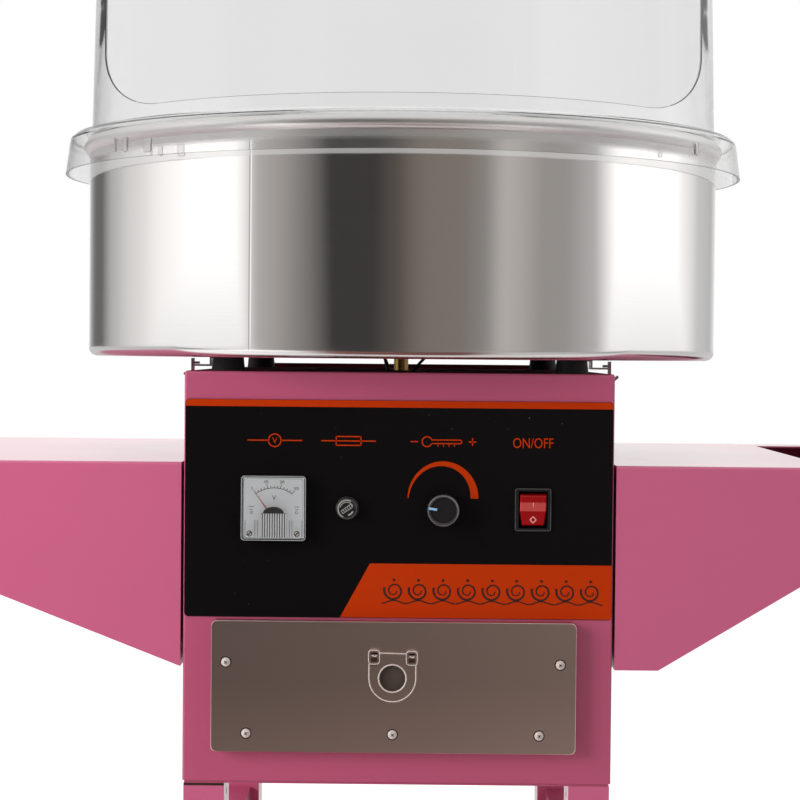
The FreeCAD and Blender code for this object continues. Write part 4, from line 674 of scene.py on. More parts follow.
def make_finishes():
    """Every finish by its name in the record's material slots, and those that only this file uses."""
    c = colours()
    powder, ink = (520.0, 0.08), (1200.0, 0.03)
    return {
        "pink_paint": coated("shelf_powder_coat", c.paint, 0.36, 0.7, 0.1, powder, (3.0, 0.05), 0.12),
        # The housing's pink is the shelves' pink made darker: painted shade.
        "housing": coated("housing_powder_coat_shaded", c.housing, 0.36, 0.7, 0.14, (520.0, 0.10), (3.0, 0.05), 0.12,
                          # Above this height the housing's top is painted shade: dark dull red, without
                          # gloss.
                          matte_shade_above=0.7009),
        "wheel_paint": coated("wheel_paint", tone(196, 92, 130), 0.4, 0.4, 0.15, (420.0, 0.10), (9.0, 0.06),
                              0.15),
        "tyre": coated("tyre_rubber", tone(38, 37, 38), 0.78, 0.0, 0.1, (260.0, 0.22), (30.0, 0.2),
                       dusty=0.05),
        "rubber": coated("black_rubber", tone(28, 27, 28), 0.62, 0.0, 0.1, (380.0, 0.18), (40.0, 0.15)),
        "steel": metal("satin_steel", tone(208, 206, 204), 0.26, (1, 1, 0.06), (1200.0, 0.06)),
        "bowl": polished_bowl("polished_bowl_steel", c.steel, -0.433),
        "drawer_steel": brushed_front("brushed_drawer_steel", c.drawer),
        "galvanised": galvanised("galvanised_steel"),
        "chrome": metal("chrome_plate", tone(226, 228, 230), 0.09, (1, 1, 1), (160.0, 0.02), 0.4,
                        (12.0, 0.02)),
        "panel": coated("panel_film", c.panel, 0.3, 0.0, 0.2, (900.0, 0.04), (5.0, 0.15), 0.1, 0.035, 0.12),
        "print": coated("panel_print", c.print, 0.42, drift=(9.0, 0.05), specular=0.1),
        "ornament": coated("ornament_print", c.ornament, 0.5, drift=(30.0, 0.1)),
        "black_plastic": coated("black_moulding", c.plastic, 0.32, 0.1, 0.2, (700.0, 0.06), (40.0, 0.12),
                                0.08),
        # The dial and the ribs that share its finish shine by themselves: painted light.
        "dial": coated("dial_card_self_lit", c.dial, 0.55, peel=(1200.0, 0.05), drift=(25.0, 0.03), glow=0.19),
        "dial_ink": coated("dial_ink", tone(34, 34, 38), 0.6, peel=ink, drift=(90.0, 0.1)),
        "needle_red": coated("needle_paint", c.needle, 0.4, peel=ink, drift=(80.0, 0.08)),
        "clear": clear("clear_cover", (0.975, 0.98, 0.982)),
        "clip": clear("frosted_clip", (0.99, 0.99, 0.99), 0.3, 0.05),
        # The dome's back half is tinted grey: painted shade.
        "dome": clear("clear_dome_back_shaded", (0.988, 0.99, 0.99), 0.03, 0.03, 1.36, (0.765, 0.767, 0.766)),
        "glass": clear("fuse_glass", (0.97, 0.98, 0.975), ior=1.5),
        "rocker_red": rocker_finish("rocker_moulding", c.rocker),
        "rocker_mark": coated("rocker_mark", tone(224, 160, 154), 0.45),
        # Pale grey of the fuse's left arc and of the meter screws' arcs: painted highlight. The other fuse
        # marks are moulded.
        "grey_mark_and_highlight": coated("grey_mark_and_highlight", tone(168, 166, 162), 0.45),
        # Pale grey of the rings round the fuse cap and the switch frame: painted highlight.
        "bezel_edge": coated("bezel_edge", tone(74, 74, 74), 0.35, drift=(25.0, 0.5)),
        # Pale tone of the cover's edge lines: painted highlight. The outer ribs share it.
        "meter_edge": coated("meter_edge", tone(168, 168, 170), 0.4, 0.3, 0.1, drift=(60.0, 0.2)),
        "rib_ground": coated("rib_ground", tone(104, 84, 72), 0.5, drift=(60.0, 0.1)),
        # Pale tone of the pull's rims, the lugs' rims and the drawer's screw heads: painted highlight.
        "rim": coated("bright_edge_highlight", tone(206, 190, 184), 0.3, 0.3, 0.1, drift=(60.0, 0.08)),
        # Dark tone of the disc inside the pull's ring: painted shadow.
        "shade": coated("pull_shade", tone(70, 58, 50), 0.5, 0.0, 0.1, drift=(90.0, 0.25)),
        # Dark tone of the lug wells and of the gap over the leg: painted shade.
        "well": coated("pull_recess_shade", tone(46, 30, 24), 0.5, 0.0, 0.1, drift=(60.0, 0.2)),
        "pointer": coated("pointer_inlay", c.pointer, 0.4, drift=(60.0, 0.05)),
        "knurl": metal("knurled_skirt", tone(112, 110, 114), 0.3, (1, 1, 1), (1500.0, 0.3), 0.3, (75.0, 0.9)),
        "brass": metal("brass", tone(206, 168, 98), 0.24, (1, 1, 0.1), (900.0, 0.06)),
        "aluminium": metal("cast_aluminium", tone(200, 201, 203), 0.34, (1, 1, 0.2), (600.0, 0.08)),
        "board": circuit_board("lacquered_board"),
    }


FINISHES = {}


# ---------------------------------------------------------------- operators

class CandyStage(bpy.types.Operator):
    """Builds the white floor, the world, the lamps and the camera"""
    bl_idname = "candy.stage"
    bl_label = "Stage"

    # Compass angle in degrees and level of the strip of studio that gloss sees.
    STRIP = ((-180, 0.77), (-169, 0.77), (-160, 0.36), (-148, 0.11), (-138, 0.11), (-131, 0.34),
             (-108, 0.61), (-92, 0.82), (-76, 0.98), (-60, 0.96), (-55.5, 0.66), (-52.5, 0.36), (-49, 0.33),
             (-33, 0.17), (-24, 0.036), (-9, 0.036), (0, 0.08), (8, 0.155), (21, 0.165), (29, 0.20),
             (36, 0.38), (50, 0.255), (60, 0.255), (72, 0.36), (81, 0.90), (88, 1.0), (113, 0.97),
             (133, 0.47), (152, 0.36), (164, 0.55), (171, 0.77), (180, 0.77))

    # Name, place, width in metres and power in watts.
    LAMPS = (("left_lamp", (-1.7, -1.35, 1.1), 1.2, 34.0),
             ("right_lamp", (2.2, -1.6, 1.5), 1.2, 5.0),
             ("top_lamp", (-0.3, 0.2, 3.0), 1.6, 20.0))

    def execute(self, context):
        self.world(context.scene)
        self.floor()
        self.lamps()
        self.camera(context.scene)
        return {"FINISHED"}

    def studio(self, tree, x, y, z):
        """The colour that gloss sees, by the compass angle of the ray as seen from the machine.

        Pale screens stand at both sides and dark cloth in front. High up it is an even grey.
        """
        along = maths(tree, "MULTIPLY_ADD", compass(tree, x, y), 1 / (2 * np.pi), 0.5)
        ramp = add(tree, "ShaderNodeValToRGB", None, Fac=along)
        stops = ramp.color_ramp.elements
        while len(stops) < len(self.STRIP):
            stops.new(0.5)
        for stop, (degrees, level) in zip(stops, self.STRIP):
            stop.position = degrees / 360 + 0.5
        for stop, (degrees, level) in zip(stops, self.STRIP):
            # The cloth right of the middle is warmest, then the rest of the front. The screens are grey.
            warm = 0.13 if 0 <= degrees <= 25 else 0.05 if -50 < degrees < 70 else 0.008
            stop.color = (level, level * (1 - warm), level * (1 - 1.7 * warm), 1)
        # Below the horizon no part of the strip is brighter than this cap.
        cap = ranged(tree, z, -0.01, 0.06, 0.68, 1.0)
        capped = add(tree, "ShaderNodeVectorMath", {"operation": "MINIMUM"}, i0=ramp.outputs[0], i1=cap)
        return mixed(tree, ranged(tree, z, 0.12, 0.6), capped.outputs[0], (0.64, 0.64, 0.64, 1))

    def world(self, scene):
        """White behind the machine, a plain level for soft light, and a strip of studio for gloss.

        A ray that has bounced off gloss sees the strip, and one that has been scattered sees the plain level.
        One from the camera sees white, straight or through clear sheet, and part of it through clear edges.
        """
        world = bpy.data.worlds.new("studio")
        scene.world = world
        world.use_nodes = True
        tree = world.node_tree
        tree.nodes.clear()
        strip = self.studio(tree, *axes(tree, tree.nodes.new("ShaderNodeTexCoord").outputs["Generated"]))
        gloss, soft, white = (
            add(tree, "ShaderNodeBackground", None, Color=colour, Strength=strength)
            for colour, strength in ((strip, 1.5), ((1.0, 0.985, 0.975, 1), 0.42), ((1, 1, 1, 1), 1.0)))
        rays = tree.nodes.new("ShaderNodeLightPath").outputs
        bounced = maths(tree, "MINIMUM", rays["Glossy Depth"], 1.0)
        mirrored = product(tree, bounced, inverse(tree, rays["Is Diffuse Ray"]))
        lit = add(tree, "ShaderNodeMixShader", None, i0=mirrored, i1=soft.outputs[0], i2=gloss.outputs[0])
        spread = maths(tree, "MINIMUM", rays["Diffuse Depth"], 1.0)
        straight = inverse(tree, maths(tree, "MAXIMUM", bounced, spread))
        through = product(tree, rays["Is Transmission Ray"], straight)
        most_walls, edge_share = 2.5, 0.45
        few = maths(tree, "LESS_THAN", rays["Transmission Depth"], most_walls)
        edge = product(tree, rays["Is Transmission Ray"], bounced, few, edge_share)
        through = maths(tree, "MAXIMUM", through, edge)
        seen = maths(tree, "MAXIMUM", rays["Is Camera Ray"], through)
        out = add(tree, "ShaderNodeMixShader", None, i0=seen, i1=lit.outputs[0], i2=white.outputs[0])
        fill(tree, tree.nodes.new("ShaderNodeOutputWorld"), i0=out.outputs[0])

    def floor(self):
        """A flat white sheet at height 0 from 1.3 m in front to far behind.

        Gloss sees dark cloth in front. Behind the machine it sees the white sheet, more weakly than the eye.
        """
        half, near, far, steps = 40000, -1300, 60000, 41
        x, y = np.meshgrid(np.linspace(-half, half, steps), np.linspace(near, far, steps), indexing="ij")
        points = np.stack([x, y, np.zeros_like(x)], -1).reshape(-1, 3) * MM
        mesh = bpy.data.meshes.new("floor")
        mesh.from_pydata(points.tolist(), [], grid_faces(steps, steps))
        material, tree, shader, place = blank("floor_white")
        white = toned(tree, place, (0.8, 0.8, 0.8), 2.0, 0.01)[0]
        rays = tree.nodes.new("ShaderNodeLightPath").outputs
        gloss = rays["Is Glossy Ray"]
        cloth, cloth_back, cloth_side = (0.2, 0.09, 0.08), (-0.5, -0.4), (0.44, 0.66)
        glow_level, behind_level = 0.68, 0.4
        x, y = axes(tree, place)[:2]
        behind = ranged(tree, y, *cloth_back)
        aside = maths(tree, "ABSOLUTE", compass(tree, x, y))
        ahead = product(tree, ranged(tree, aside, *cloth_side, 1.0, 0.0), inverse(tree, behind))
        base = mixed(tree, product(tree, gloss, ahead), white, rgba(cloth))
        fill(tree, shader, Base_Color=base, Roughness=0.9, Specular_IOR_Level=0.1)
        mirrored = product(tree, gloss, behind, behind_level)
        mirrored = maths(tree, "MAXIMUM", rays["Is Transmission Ray"], mirrored)
        seen = maths(tree, "MAXIMUM", rays["Is Camera Ray"], mirrored)
        strength = product(tree, seen, glow_level)
        glow = add(tree, "ShaderNodeEmission", None, Color=(1, 1, 1, 1), Strength=strength)
        both = add(tree, "ShaderNodeAddShader", None, i0=shader.outputs[0], i1=glow.outputs[0])
        fill(tree, tree.nodes["Material Output"], i0=both.outputs[0])
        mesh.materials.append(material)
        floor = bpy.data.objects.new("floor", mesh)
        bpy.context.scene.collection.objects.link(floor)

    def lamps(self):
        """A large soft lamp on the left, a weaker one on the right and one from above, aimed at the housing.

        Gloss doesn't see them, neither directly nor through the clear skirt.
        """
        aim = Vector((0, 0, 0.65))
        for name, place, size, power in self.LAMPS:
            data = bpy.data.lights.new(name, "AREA")
            data.size, data.energy = size, power
            lamp = bpy.data.objects.new(name, data)
            lamp.location = place
            lamp.rotation_euler = (aim - Vector(place)).to_track_quat("-Z", "Y").to_euler()
            lamp.visible_glossy = lamp.visible_transmission = False
            bpy.context.scene.collection.objects.link(lamp)

    def camera(self, scene):
        """A long lens in front of the bowl's lower edge, turned and rolled by a fraction of a degree."""
        yaw, pitch, roll = np.radians((0.286, 1.352, 0.519))
        place, far = (0.00769, -1.670, 0.71567), 200.0
        ahead = Vector((-np.sin(yaw) * np.cos(pitch), np.cos(yaw) * np.cos(pitch), -np.sin(pitch)))
        level = ahead.cross(Vector((0, 0, 1))).normalized()
        above = level.cross(ahead)
        right = level * np.cos(roll) + above * np.sin(roll)
        up = above * np.cos(roll) - level * np.sin(roll)
        data = bpy.data.cameras.new("camera")
        data.lens, data.sensor_width = 90.795, 36.0
        data.clip_end = far
        camera = bpy.data.objects.new("camera", data)
        turn = Matrix((right, up, -ahead)).transposed().to_4x4()
        camera.matrix_world = Matrix.Translation(place) @ turn
        scene.collection.objects.link(camera)
        scene.camera = camera
        scene.view_settings.view_transform = "Standard"


class CandyFinishes(bpy.types.Operator):
    """Builds the finishes and puts them on the pieces that come from the frame"""
    bl_idname = "candy.finishes"
    bl_label = "Finishes"

    def execute(self, context):
        """A piece takes the finish of its own material slot, apart from these few."""
        FINISHES.update(make_finishes())
        own = {"body_shell": "housing", "base_pan": "housing", "back_panel": "housing", "dome": "dome",
               "drawer_box": "galvanised"}
        for name, obj in frame["nodes"].items():
            for holder in obj.material_slots:
                label = own.get(name, holder.material.name.split(".")[0])
                if label not in FINISHES:
                    raise RuntimeError(f"{name}: no finish called {label}")
                holder.material = FINISHES[label]
        return {"FINISHED"}


class CandyBowl(bpy.types.Operator):
    """Spins the bowl with its round corner, rolled rim and collar"""
    bl_idname = "candy.bowl"
    bl_label = "Bowl"

    def execute(self, context):
        """Profile: floor, quarter circle, wall, nearly a full circle for the rim, and back down inside."""
        low, high = corners("bowl")
        rim, corner, sheet = sizes().bead / MM, sizes().corner / MM, 1.2
        floor, bead_z = low[2], high[2] - 6.0
        wall, ring, hole, collar = 255.5, 254.0, 40.0, floor + 20
        start = -np.degrees(np.arccos((wall - ring) / rim))
        end = 360 - np.degrees(np.arccos((wall - sheet - ring) / rim))
        centre = (wall - corner, floor + corner)
        wall_low, wall_high = floor + corner + 1, bead_z - rim - 1
        profile = path(
            [(hole + 1.5, floor), (wall - corner - 1, floor)], arc(corner, -90, 0, 13, centre),
            [(wall, wall_low), (wall, wall_high)], arc(rim, start, end, 40, (ring, bead_z)),
            [(wall - sheet, wall_high), (wall - sheet, wall_low)], arc(corner - sheet, 0, -90, 13, centre),
            [(wall - corner - 1, floor + sheet), (hole + sheet + 1, floor + sheet)],
            [(hole + sheet, floor + sheet + 1), (hole + sheet, collar - 0.4), (hole + 0.6, collar),
             (hole, collar - 0.4), (hole, floor + 1.5)])
        bowl = piece("bowl_spun", [turned(profile, 288)], "bowl", "cart", 40.0)
        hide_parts("bowl")
        return {"FINISHED"}


class CandyDome(bpy.types.Operator):
    """Adds the moulded clips on the dome's skirt"""
    bl_idname = "candy.dome"
    bl_label = "Dome"

    # Compass angle, height of the middle over the skirt's edge, width and height.
    CLIPS = ((-50.9, 10.8, 3.5, 11.0), (-48.0, 9.8, 5.5, 11.0), (-42.4, 7.5, 8.0, 10.0),
             (53.2, 12.6, 6.0, 10.0), (125.0, 10.0, 6.0, 10.0), (-125.0, 10.0, 6.0, 10.0))

    def execute(self, context):
        """Each clip is a round-cornered slab on the skirt, turned about the dome's axis by its angle."""
        low, _ = corners("dome")
        skirt, inside, outside, corner, bevel = low[1] + 1.4, 0.6, 0.9, 1.4, 0.4
        parts = []
        for degrees, above, width, tall in self.CLIPS:
            middle, half = low[2] + above, width / 2
            outline = round_box(-half, half, middle - tall / 2, middle + tall / 2, corner)
            points, faces = slab(outline, skirt + inside, skirt - outside, bevel)
            a = np.radians(degrees)
            x = points[:, 0] * np.cos(a) - points[:, 1] * np.sin(a)
            y = points[:, 0] * np.sin(a) + points[:, 1] * np.cos(a)
            parts.append((np.stack([x, y, points[:, 2]], 1), faces))
        piece("dome_clips", parts, "clip", "dome_lid")
        return {"FINISHED"}


class CandyPrints(bpy.types.Operator):
    """Lays the printed bands, signs and ornament on the control panel"""
    bl_idname = "candy.prints"
    bl_label = "Panel prints"

    def execute(self, context):
        orange = self.bands() + self.scale() + self.signs()
        piece("panel_print", orange, "print", "cart")
        piece("panel_ornament", self.curls(PANEL_Y - PRINT_T), "ornament", "cart")
        return {"FINISHED"}

    def bands(self):
        """The strip along the top edge, with round corners, and the wedge at the lower right."""
        half, corner, top, low = 156.3, 3.0, PANEL_TOP - 0.2, PANEL_TOP - 5.2
        upper = path(arc(corner, 180, 90, 9, (-half + corner, top - corner)),
                     arc(corner, 90, 0, 9, (half - corner, top - corner)))
        lower = np.stack([upper[:, 0], np.full(len(upper), low)], 1)
        wedge_top, wedge_low = 561.0, PANEL_LOW[2] + 0.3
        left = np.array([(-20.6, wedge_top), (-42.3, wedge_low)])
        right = np.array([(half, wedge_top), (half, wedge_low)])
        return [plate(upper, lower, PANEL_Y, PRINT_T), plate(left, right, PANEL_Y, PRINT_T)]

    def scale(self):
        """The heat scale over the knob: a band along an arc that widens from a point at its left end."""
        x, z, outer, taller = KNOB_X, 609.2, 25.9, 1.2
        t = np.linspace(0, 1, 60)
        a = np.radians(180 - 180 * t)
        width = 0.6 + 5.2 * t ** 0.75
        across, up = np.cos(a), np.sin(a)
        edge = np.stack([x + outer * across, z + (outer + taller) * up], 1)
        inner = np.stack([x + (outer - width) * across, z + (outer + taller - width * 0.95) * up], 1)
        return [plate(edge, inner, PANEL_Y, PRINT_T)]

    def signs(self):
        """Signs over the instruments: a meter, a fuse and a thermometer, and ON/OFF in plain capitals."""
        z, thin, reach = 650.6, 0.9, 20
        marks = []

        def line(x0, up0, x1, up1, width=thin):
            marks.append(segment(x0, z + up0, x1, z + up1, width, PANEL_Y))

        x, ring = METER_X, 4.6
        marks.append(stroke(arc(ring, 0, 360, 48, (x, z)), thin, PANEL_Y))
        line(x - reach, 0, x - ring, 0)
        line(x + ring, 0, x + reach, 0)
        marks.append(lettering("V", x, z, 4.4, PANEL_Y))

        x, half, rise = -37.0, 9, 3.2
        for a, b in (((-1, -1), (1, -1)), ((1, -1), (1, 1)), ((1, 1), (-1, 1)), ((-1, 1), (-1, -1))):
            line(x + half * a[0], rise * a[1], x + half * b[0], rise * b[1])
        line(x - reach, 0, x + reach, 0)

        x, bulb, stem, tip = KNOB_X, 3.6, 1.3, 12
        marks.append(stroke(arc(bulb, 20, 340, 40, (x - tip, z)), thin, PANEL_Y))
        line(x - 8.7, stem, x + tip, stem)
        line(x - 8.7, -stem, x + tip, -stem)
        marks.append(stroke(arc(stem, -90, 90, 16, (x + tip, z)), thin, PANEL_Y))
        minus, plus, sign = -21.25, 21.25, 2.75
        line(x + minus - sign, 0, x + minus + sign, 0)
        line(x + plus - sign, 0, x + plus + sign, 0)
        line(x + plus, -sign, x + plus, sign)
        for tick in (-4, 0, 4, 8):
            line(x + tick, -3.6, x + tick, -2.0, thin * 0.8)
        marks.append(lettering("ON/OFF", SWITCH_X - 0.3, z - 0.4, 7.4, PANEL_Y, 0.78))
        return marks

    def curls(self, y):
        """A running border of curls: arcs whose radius shrinks with their angle, joined by a low wave."""
        count = sizes().curls
        x0, x1, z = -12.0, 150.0, 540.6
        pitch = (x1 - x0) / count
        t, s = np.linspace(0, 1, 60), np.linspace(-0.5, 0.5, 24)
        a = np.radians(-200 + 560 * t)
        parts = []
        for k in range(count):
            x = x0 + pitch * (k + 0.5)
            curl = around((x, z + 0.6), pitch * 0.40 * (1 - 0.72 * t), a)
            wave = np.stack([x + pitch * s, z - 7.6 + 1.1 * np.cos(2 * np.pi * s)], 1)
            dot = arc(0.55, 0, 360, 20, (x, z + 8.4))
            parts += [stroke(curl, 1.5 - 0.8 * t, y), stroke(wave, 0.9, y), stroke(dot, 1.0, y)]
        return parts


class CandyMeter(bpy.types.Operator):
    """Prints the meter's scale and adds the hub cover and ribs in front of the needle's pivot"""
    bl_idname = "candy.meter"
    bl_label = "Meter"

    def execute(self, context):
        x, z = METER_X, CONTROL_Z - 8.0
        self.scale(x, z)
        self.cover(x, z)
        self.frame()
        return {"FINISHED"}

    def scale(self, x, z):
        """An arc about the needle's pivot with its lines and figures, V under it and signs at both sides."""
        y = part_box("meter_dial")[0][1] / MM + 3.0
        radius, first, step, divisions = 22.4, 126, 6, 12
        ink = [stroke(arc(radius, first, first - step * divisions, 40, (x, z)), 0.45, y, INK_T)]
        for k in range(divisions + 1):
            reach = 25.6 if k % 4 == 0 else 24.0
            ink.append(stroke(spoke((x, z), first - step * k, radius, reach), 0.4, y, INK_T))
        for k, number in enumerate(("0", "100", "200", "300")):
            a = np.radians(first - 4 * step * k)
            ink.append(lettering(number, x + 27.6 * np.cos(a), z + 27.4 * np.sin(a), 2.1, y, 0.8, INK_T))
        ink.append(lettering("V", x, z + 15.2, 3.4, y, 0.9, INK_T))
        for side in (-1, 1):
            for inner, outer, up in ((18.5, 14.5, 8.6), (18.0, 15.5, 6.6)):
                ink.append(segment(x + side * inner, z + up, x + side * outer, z + up, 0.35, y, INK_T))
            ink.append(stroke(arc(0.9, 0, 360, 16, (x + side * 16.5, z + 4.4)), 0.3, y, INK_T))
        piece("meter_scale", ink, "dial_ink", "cart")

    def cover(self, x, z):
        """A half disc over the pivot and a row of upright ribs below it, in front of the needle."""
        front, shoulder, foot = METER_LOW[1] + 1.4, z + 4.2, z - 13.2
        top = arc(7.6, 180, 0, 30)
        upper = np.stack([x + top[:, 0], shoulder + top[:, 1] * 0.62], 1)
        lower = np.stack([upper[:, 0], np.full(len(upper), shoulder)], 1)
        hub = plate(upper[1:-1], lower[1:-1], front + 2.0, 2.0)
        piece("meter_hub", [hub], "black_plastic", "cart")
        backing = block(x - 9.6, x + 9.6, front + 2.0, front + 1.4, foot, shoulder)
        piece("meter_rib_ground", [backing], "rib_ground", "cart")
        ring = arc(0.5, 0, 360, 13)[:-1]
        pitch = 1.8
        ribs = []
        for k in range(11):
            rib = ring + (x - 9.0 + pitch * k, front + 1.3)
            points = np.concatenate([np.insert(rib, 2, height, 1) for height in (z - 13.0, z + 4.0)])
            faces = grid_faces(2, 12, False, True) + [list(range(11, -1, -1)), list(range(12, 24))]
            ribs.append((points, faces))
        piece("meter_ribs", ribs, "dial", "cart")
        outer = [block(x + k - 0.25, x + k + 0.25, front + 2.2, front + 1.4, foot, z - 1.0)
                 for k in np.arange(-20.7, 21.0, pitch) if abs(k) > 10.5 and abs(abs(k) - 17.2) > 2.2]
        piece("meter_outer_ribs", outer, "meter_edge", "cart")

    def frame(self):
        """Two bright lines round the cover's edge and bright arcs on the screw heads: painted highlights."""
        low, high = METER_LOW, METER_HIGH
        lines = []
        for inset, radius in ((0.25, 0.3), (2.0, 0.2)):
            outline = round_box(low[0] + inset, high[0] - inset, low[2] + inset, high[2] - inset, 2.2)
            lines.append(tube(at_depth(outline, low[1]), radius, 8, True))
        piece("meter_edge_highlights", lines, "meter_edge", "cart")
        low, high = corners("meter_screws")
        z, head = (low[2] + high[2]) / 2, 2.2
        bright = [stroke(arc(1.1, start, start + 110, 12, (x, z)), 0.8, low[1], 0.12)
                  for x in (low[0] + head, high[0] - head) for start in (75, 255)]
        piece("meter_screw_highlights", bright, "grey_mark_and_highlight", "cart")


class CandyControls(bpy.types.Operator):
    """Marks the fuse cap, the knob and the switch"""
    bl_idname = "candy.controls"
    bl_label = "Fuse, knob and switch marks"

    def execute(self, context):
        self.fuse()
        self.knob()
        self.rocker()
        return {"FINISHED"}

    def fuse(self):
        """Moulded marks: arcs and a slanting coin slot, and a bright edge on the left that is painted
        highlight.
        """
        low, high = corners("fuse_cap")
        centre, y = ((low[0] + high[0]) / 2, (low[2] + high[2]) / 2), low[1]
        # The first arc, the bright edge on the left, is painted highlight; the others are marks.
        marks = [stroke(arc(radius, start, end, count, centre), width, y, INK_T)
                 for radius, start, end, count, width in ((6.3, 62, 245, 60, 0.75), (4.9, 25, 168, 40, 0.5),
                                                          (4.6, -78, -22, 20, 1.0))]
        slant = np.radians(35)
        along, side = np.array([np.cos(slant), np.sin(slant)]), np.array([-np.sin(slant), np.cos(slant)])
        slot = [[(reach, shift) for reach in (-4.4, 4.4)] for shift in (-1.25, 1.25)]
        slot += [[(reach, shift) for shift in (-1.25, 1.25)] for reach in np.linspace(-4.2, 4.2, 6)]
        for ends in slot:
            line = [centre + along * reach + side * shift for reach, shift in ends]
            marks.append(stroke(line, 0.45, y, INK_T))
        piece("fuse_mark", marks, "grey_mark_and_highlight", "fuse")
        # A pale grey ring round the cap's edge: painted highlight.
        edge = turned(arc(0.45, 0, 330, 12, (7.0, y + 1.0)), 64, centre, "y")
        piece("fuse_edge_highlight", [edge], "bezel_edge", "fuse")

    def knob(self):
        """A knurled skirt, whose radius swings with the angle, and the pale inlay that runs onto it."""
        low, high = corners("temperature_knob")
        x, z, y = (low[0] + high[0]) / 2, (low[2] + high[2]) / 2, low[1]
        profile = np.array([(9.2, 0.4), (9.3, -0.35), (9.9, -0.5), (10.5, -0.45), (11.5, 0.1), (12.0, 0.9),
                            (12.2, 2.0), (12.2, 8.0), (11.0, 8.4)]) + (0.0, y)
        knurls, knurl_depth, knurled_from = 32, 0.03, 10.2
        points, faces = turned(profile, 384, (x, z), "y")
        along = points - (x, 0.0, z)
        radius, turn = np.hypot(along[:, 0], along[:, 2]), np.arctan2(along[:, 2], along[:, 0])
        swing = 1 - knurl_depth * np.abs(np.sin(knurls * turn)) * (radius > knurled_from)
        points = np.stack([x + along[:, 0] * swing, points[:, 1], z + along[:, 2] * swing], 1)
        piece("knob_skirt", [(points, faces)], "knurl", "knob", 50.0)
        inlay = stroke(spoke((x, z), 171, 4.6, 10.6), 1.7, y - 0.3, 0.45)
        piece("knob_inlay", [inlay], "pointer", "knob")

    def rocker(self):
        """A rocker that narrows downwards, with I and O laid on its face.

        Every point is given by x, its height up from the pivot and its depth, and then tilted.
        """
        pivot_y, tilt, crest, slope = PANEL_Y + 3.0, np.radians(9.0), 5.41, 1.6 / 11.3
        x, rows = SWITCH_X, 29

        def tilted(points):
            up, out = points[:, 2], points[:, 1]
            y = out * np.cos(tilt) - up * np.sin(tilt)
            z = out * np.sin(tilt) + up * np.cos(tilt)
            return np.stack([points[:, 0], pivot_y + y, CONTROL_Z + z], 1)

        def face(up):
            return -crest - slope * np.abs(up)

        up = np.linspace(-10.6, 11.8, rows)
        half = 9.5 - 1.6 * np.clip((-0.5 - up) / 10.7, 0, 1)
        rounded = face(up) + 0.9 * np.clip((np.abs(up - 0.6) - 10.6) / 0.6, 0, 1)
        across = np.array([-1, -1, -1, 1, 1, 1.0])
        inset = np.array([0, 0, 0.7, 0.7, 0, 0])
        depth = np.array([6.0, 0.7, 0.0, 0.0, 0.7, 6.0])
        grid = np.stack([x + across * (half[:, None] - inset), rounded[:, None] + depth,
                         np.broadcast_to(up[:, None], (rows, 6))], -1).reshape(-1, 3)
        last = 6 * (rows - 1)
        caps = [list(range(5, -1, -1)), list(range(last, last + 6))]
        rocker = piece("rocker_body", [(tilted(grid), grid_faces(rows, 6, False, True) + caps)],
                       "rocker_red", "rocker")
        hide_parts("switch_rocker")
        ring = arc(2.3, 90, 450, 5, (x, -6.3))
        flat = [segment(x, 3.4, x, 6.6, 0.6, 0.0, 0.12)]
        flat += [segment(*ring[k], *ring[k + 1], 0.75, 0.0, 0.12) for k in range(4)]
        marks = [(tilted(np.stack([q[:, 0], q[:, 1] + face(q[:, 2]), q[:, 2]], 1)), faces)
                 for q, faces in flat]
        piece("rocker_marks", marks, "rocker_mark", "rocker")
        half_frame, frame_low, frame_high = 12.9, 586.2, 616.8
        outline = round_box(SWITCH_X - half_frame, SWITCH_X + half_frame, frame_low, frame_high, 1.4)
        # A pale grey line round the switch's frame: painted highlight.
        edge = tube(at_depth(outline, PANEL_Y - 2.0), 0.32, 8, True)
        piece("bezel_edge", [edge], "bezel_edge", "cart")


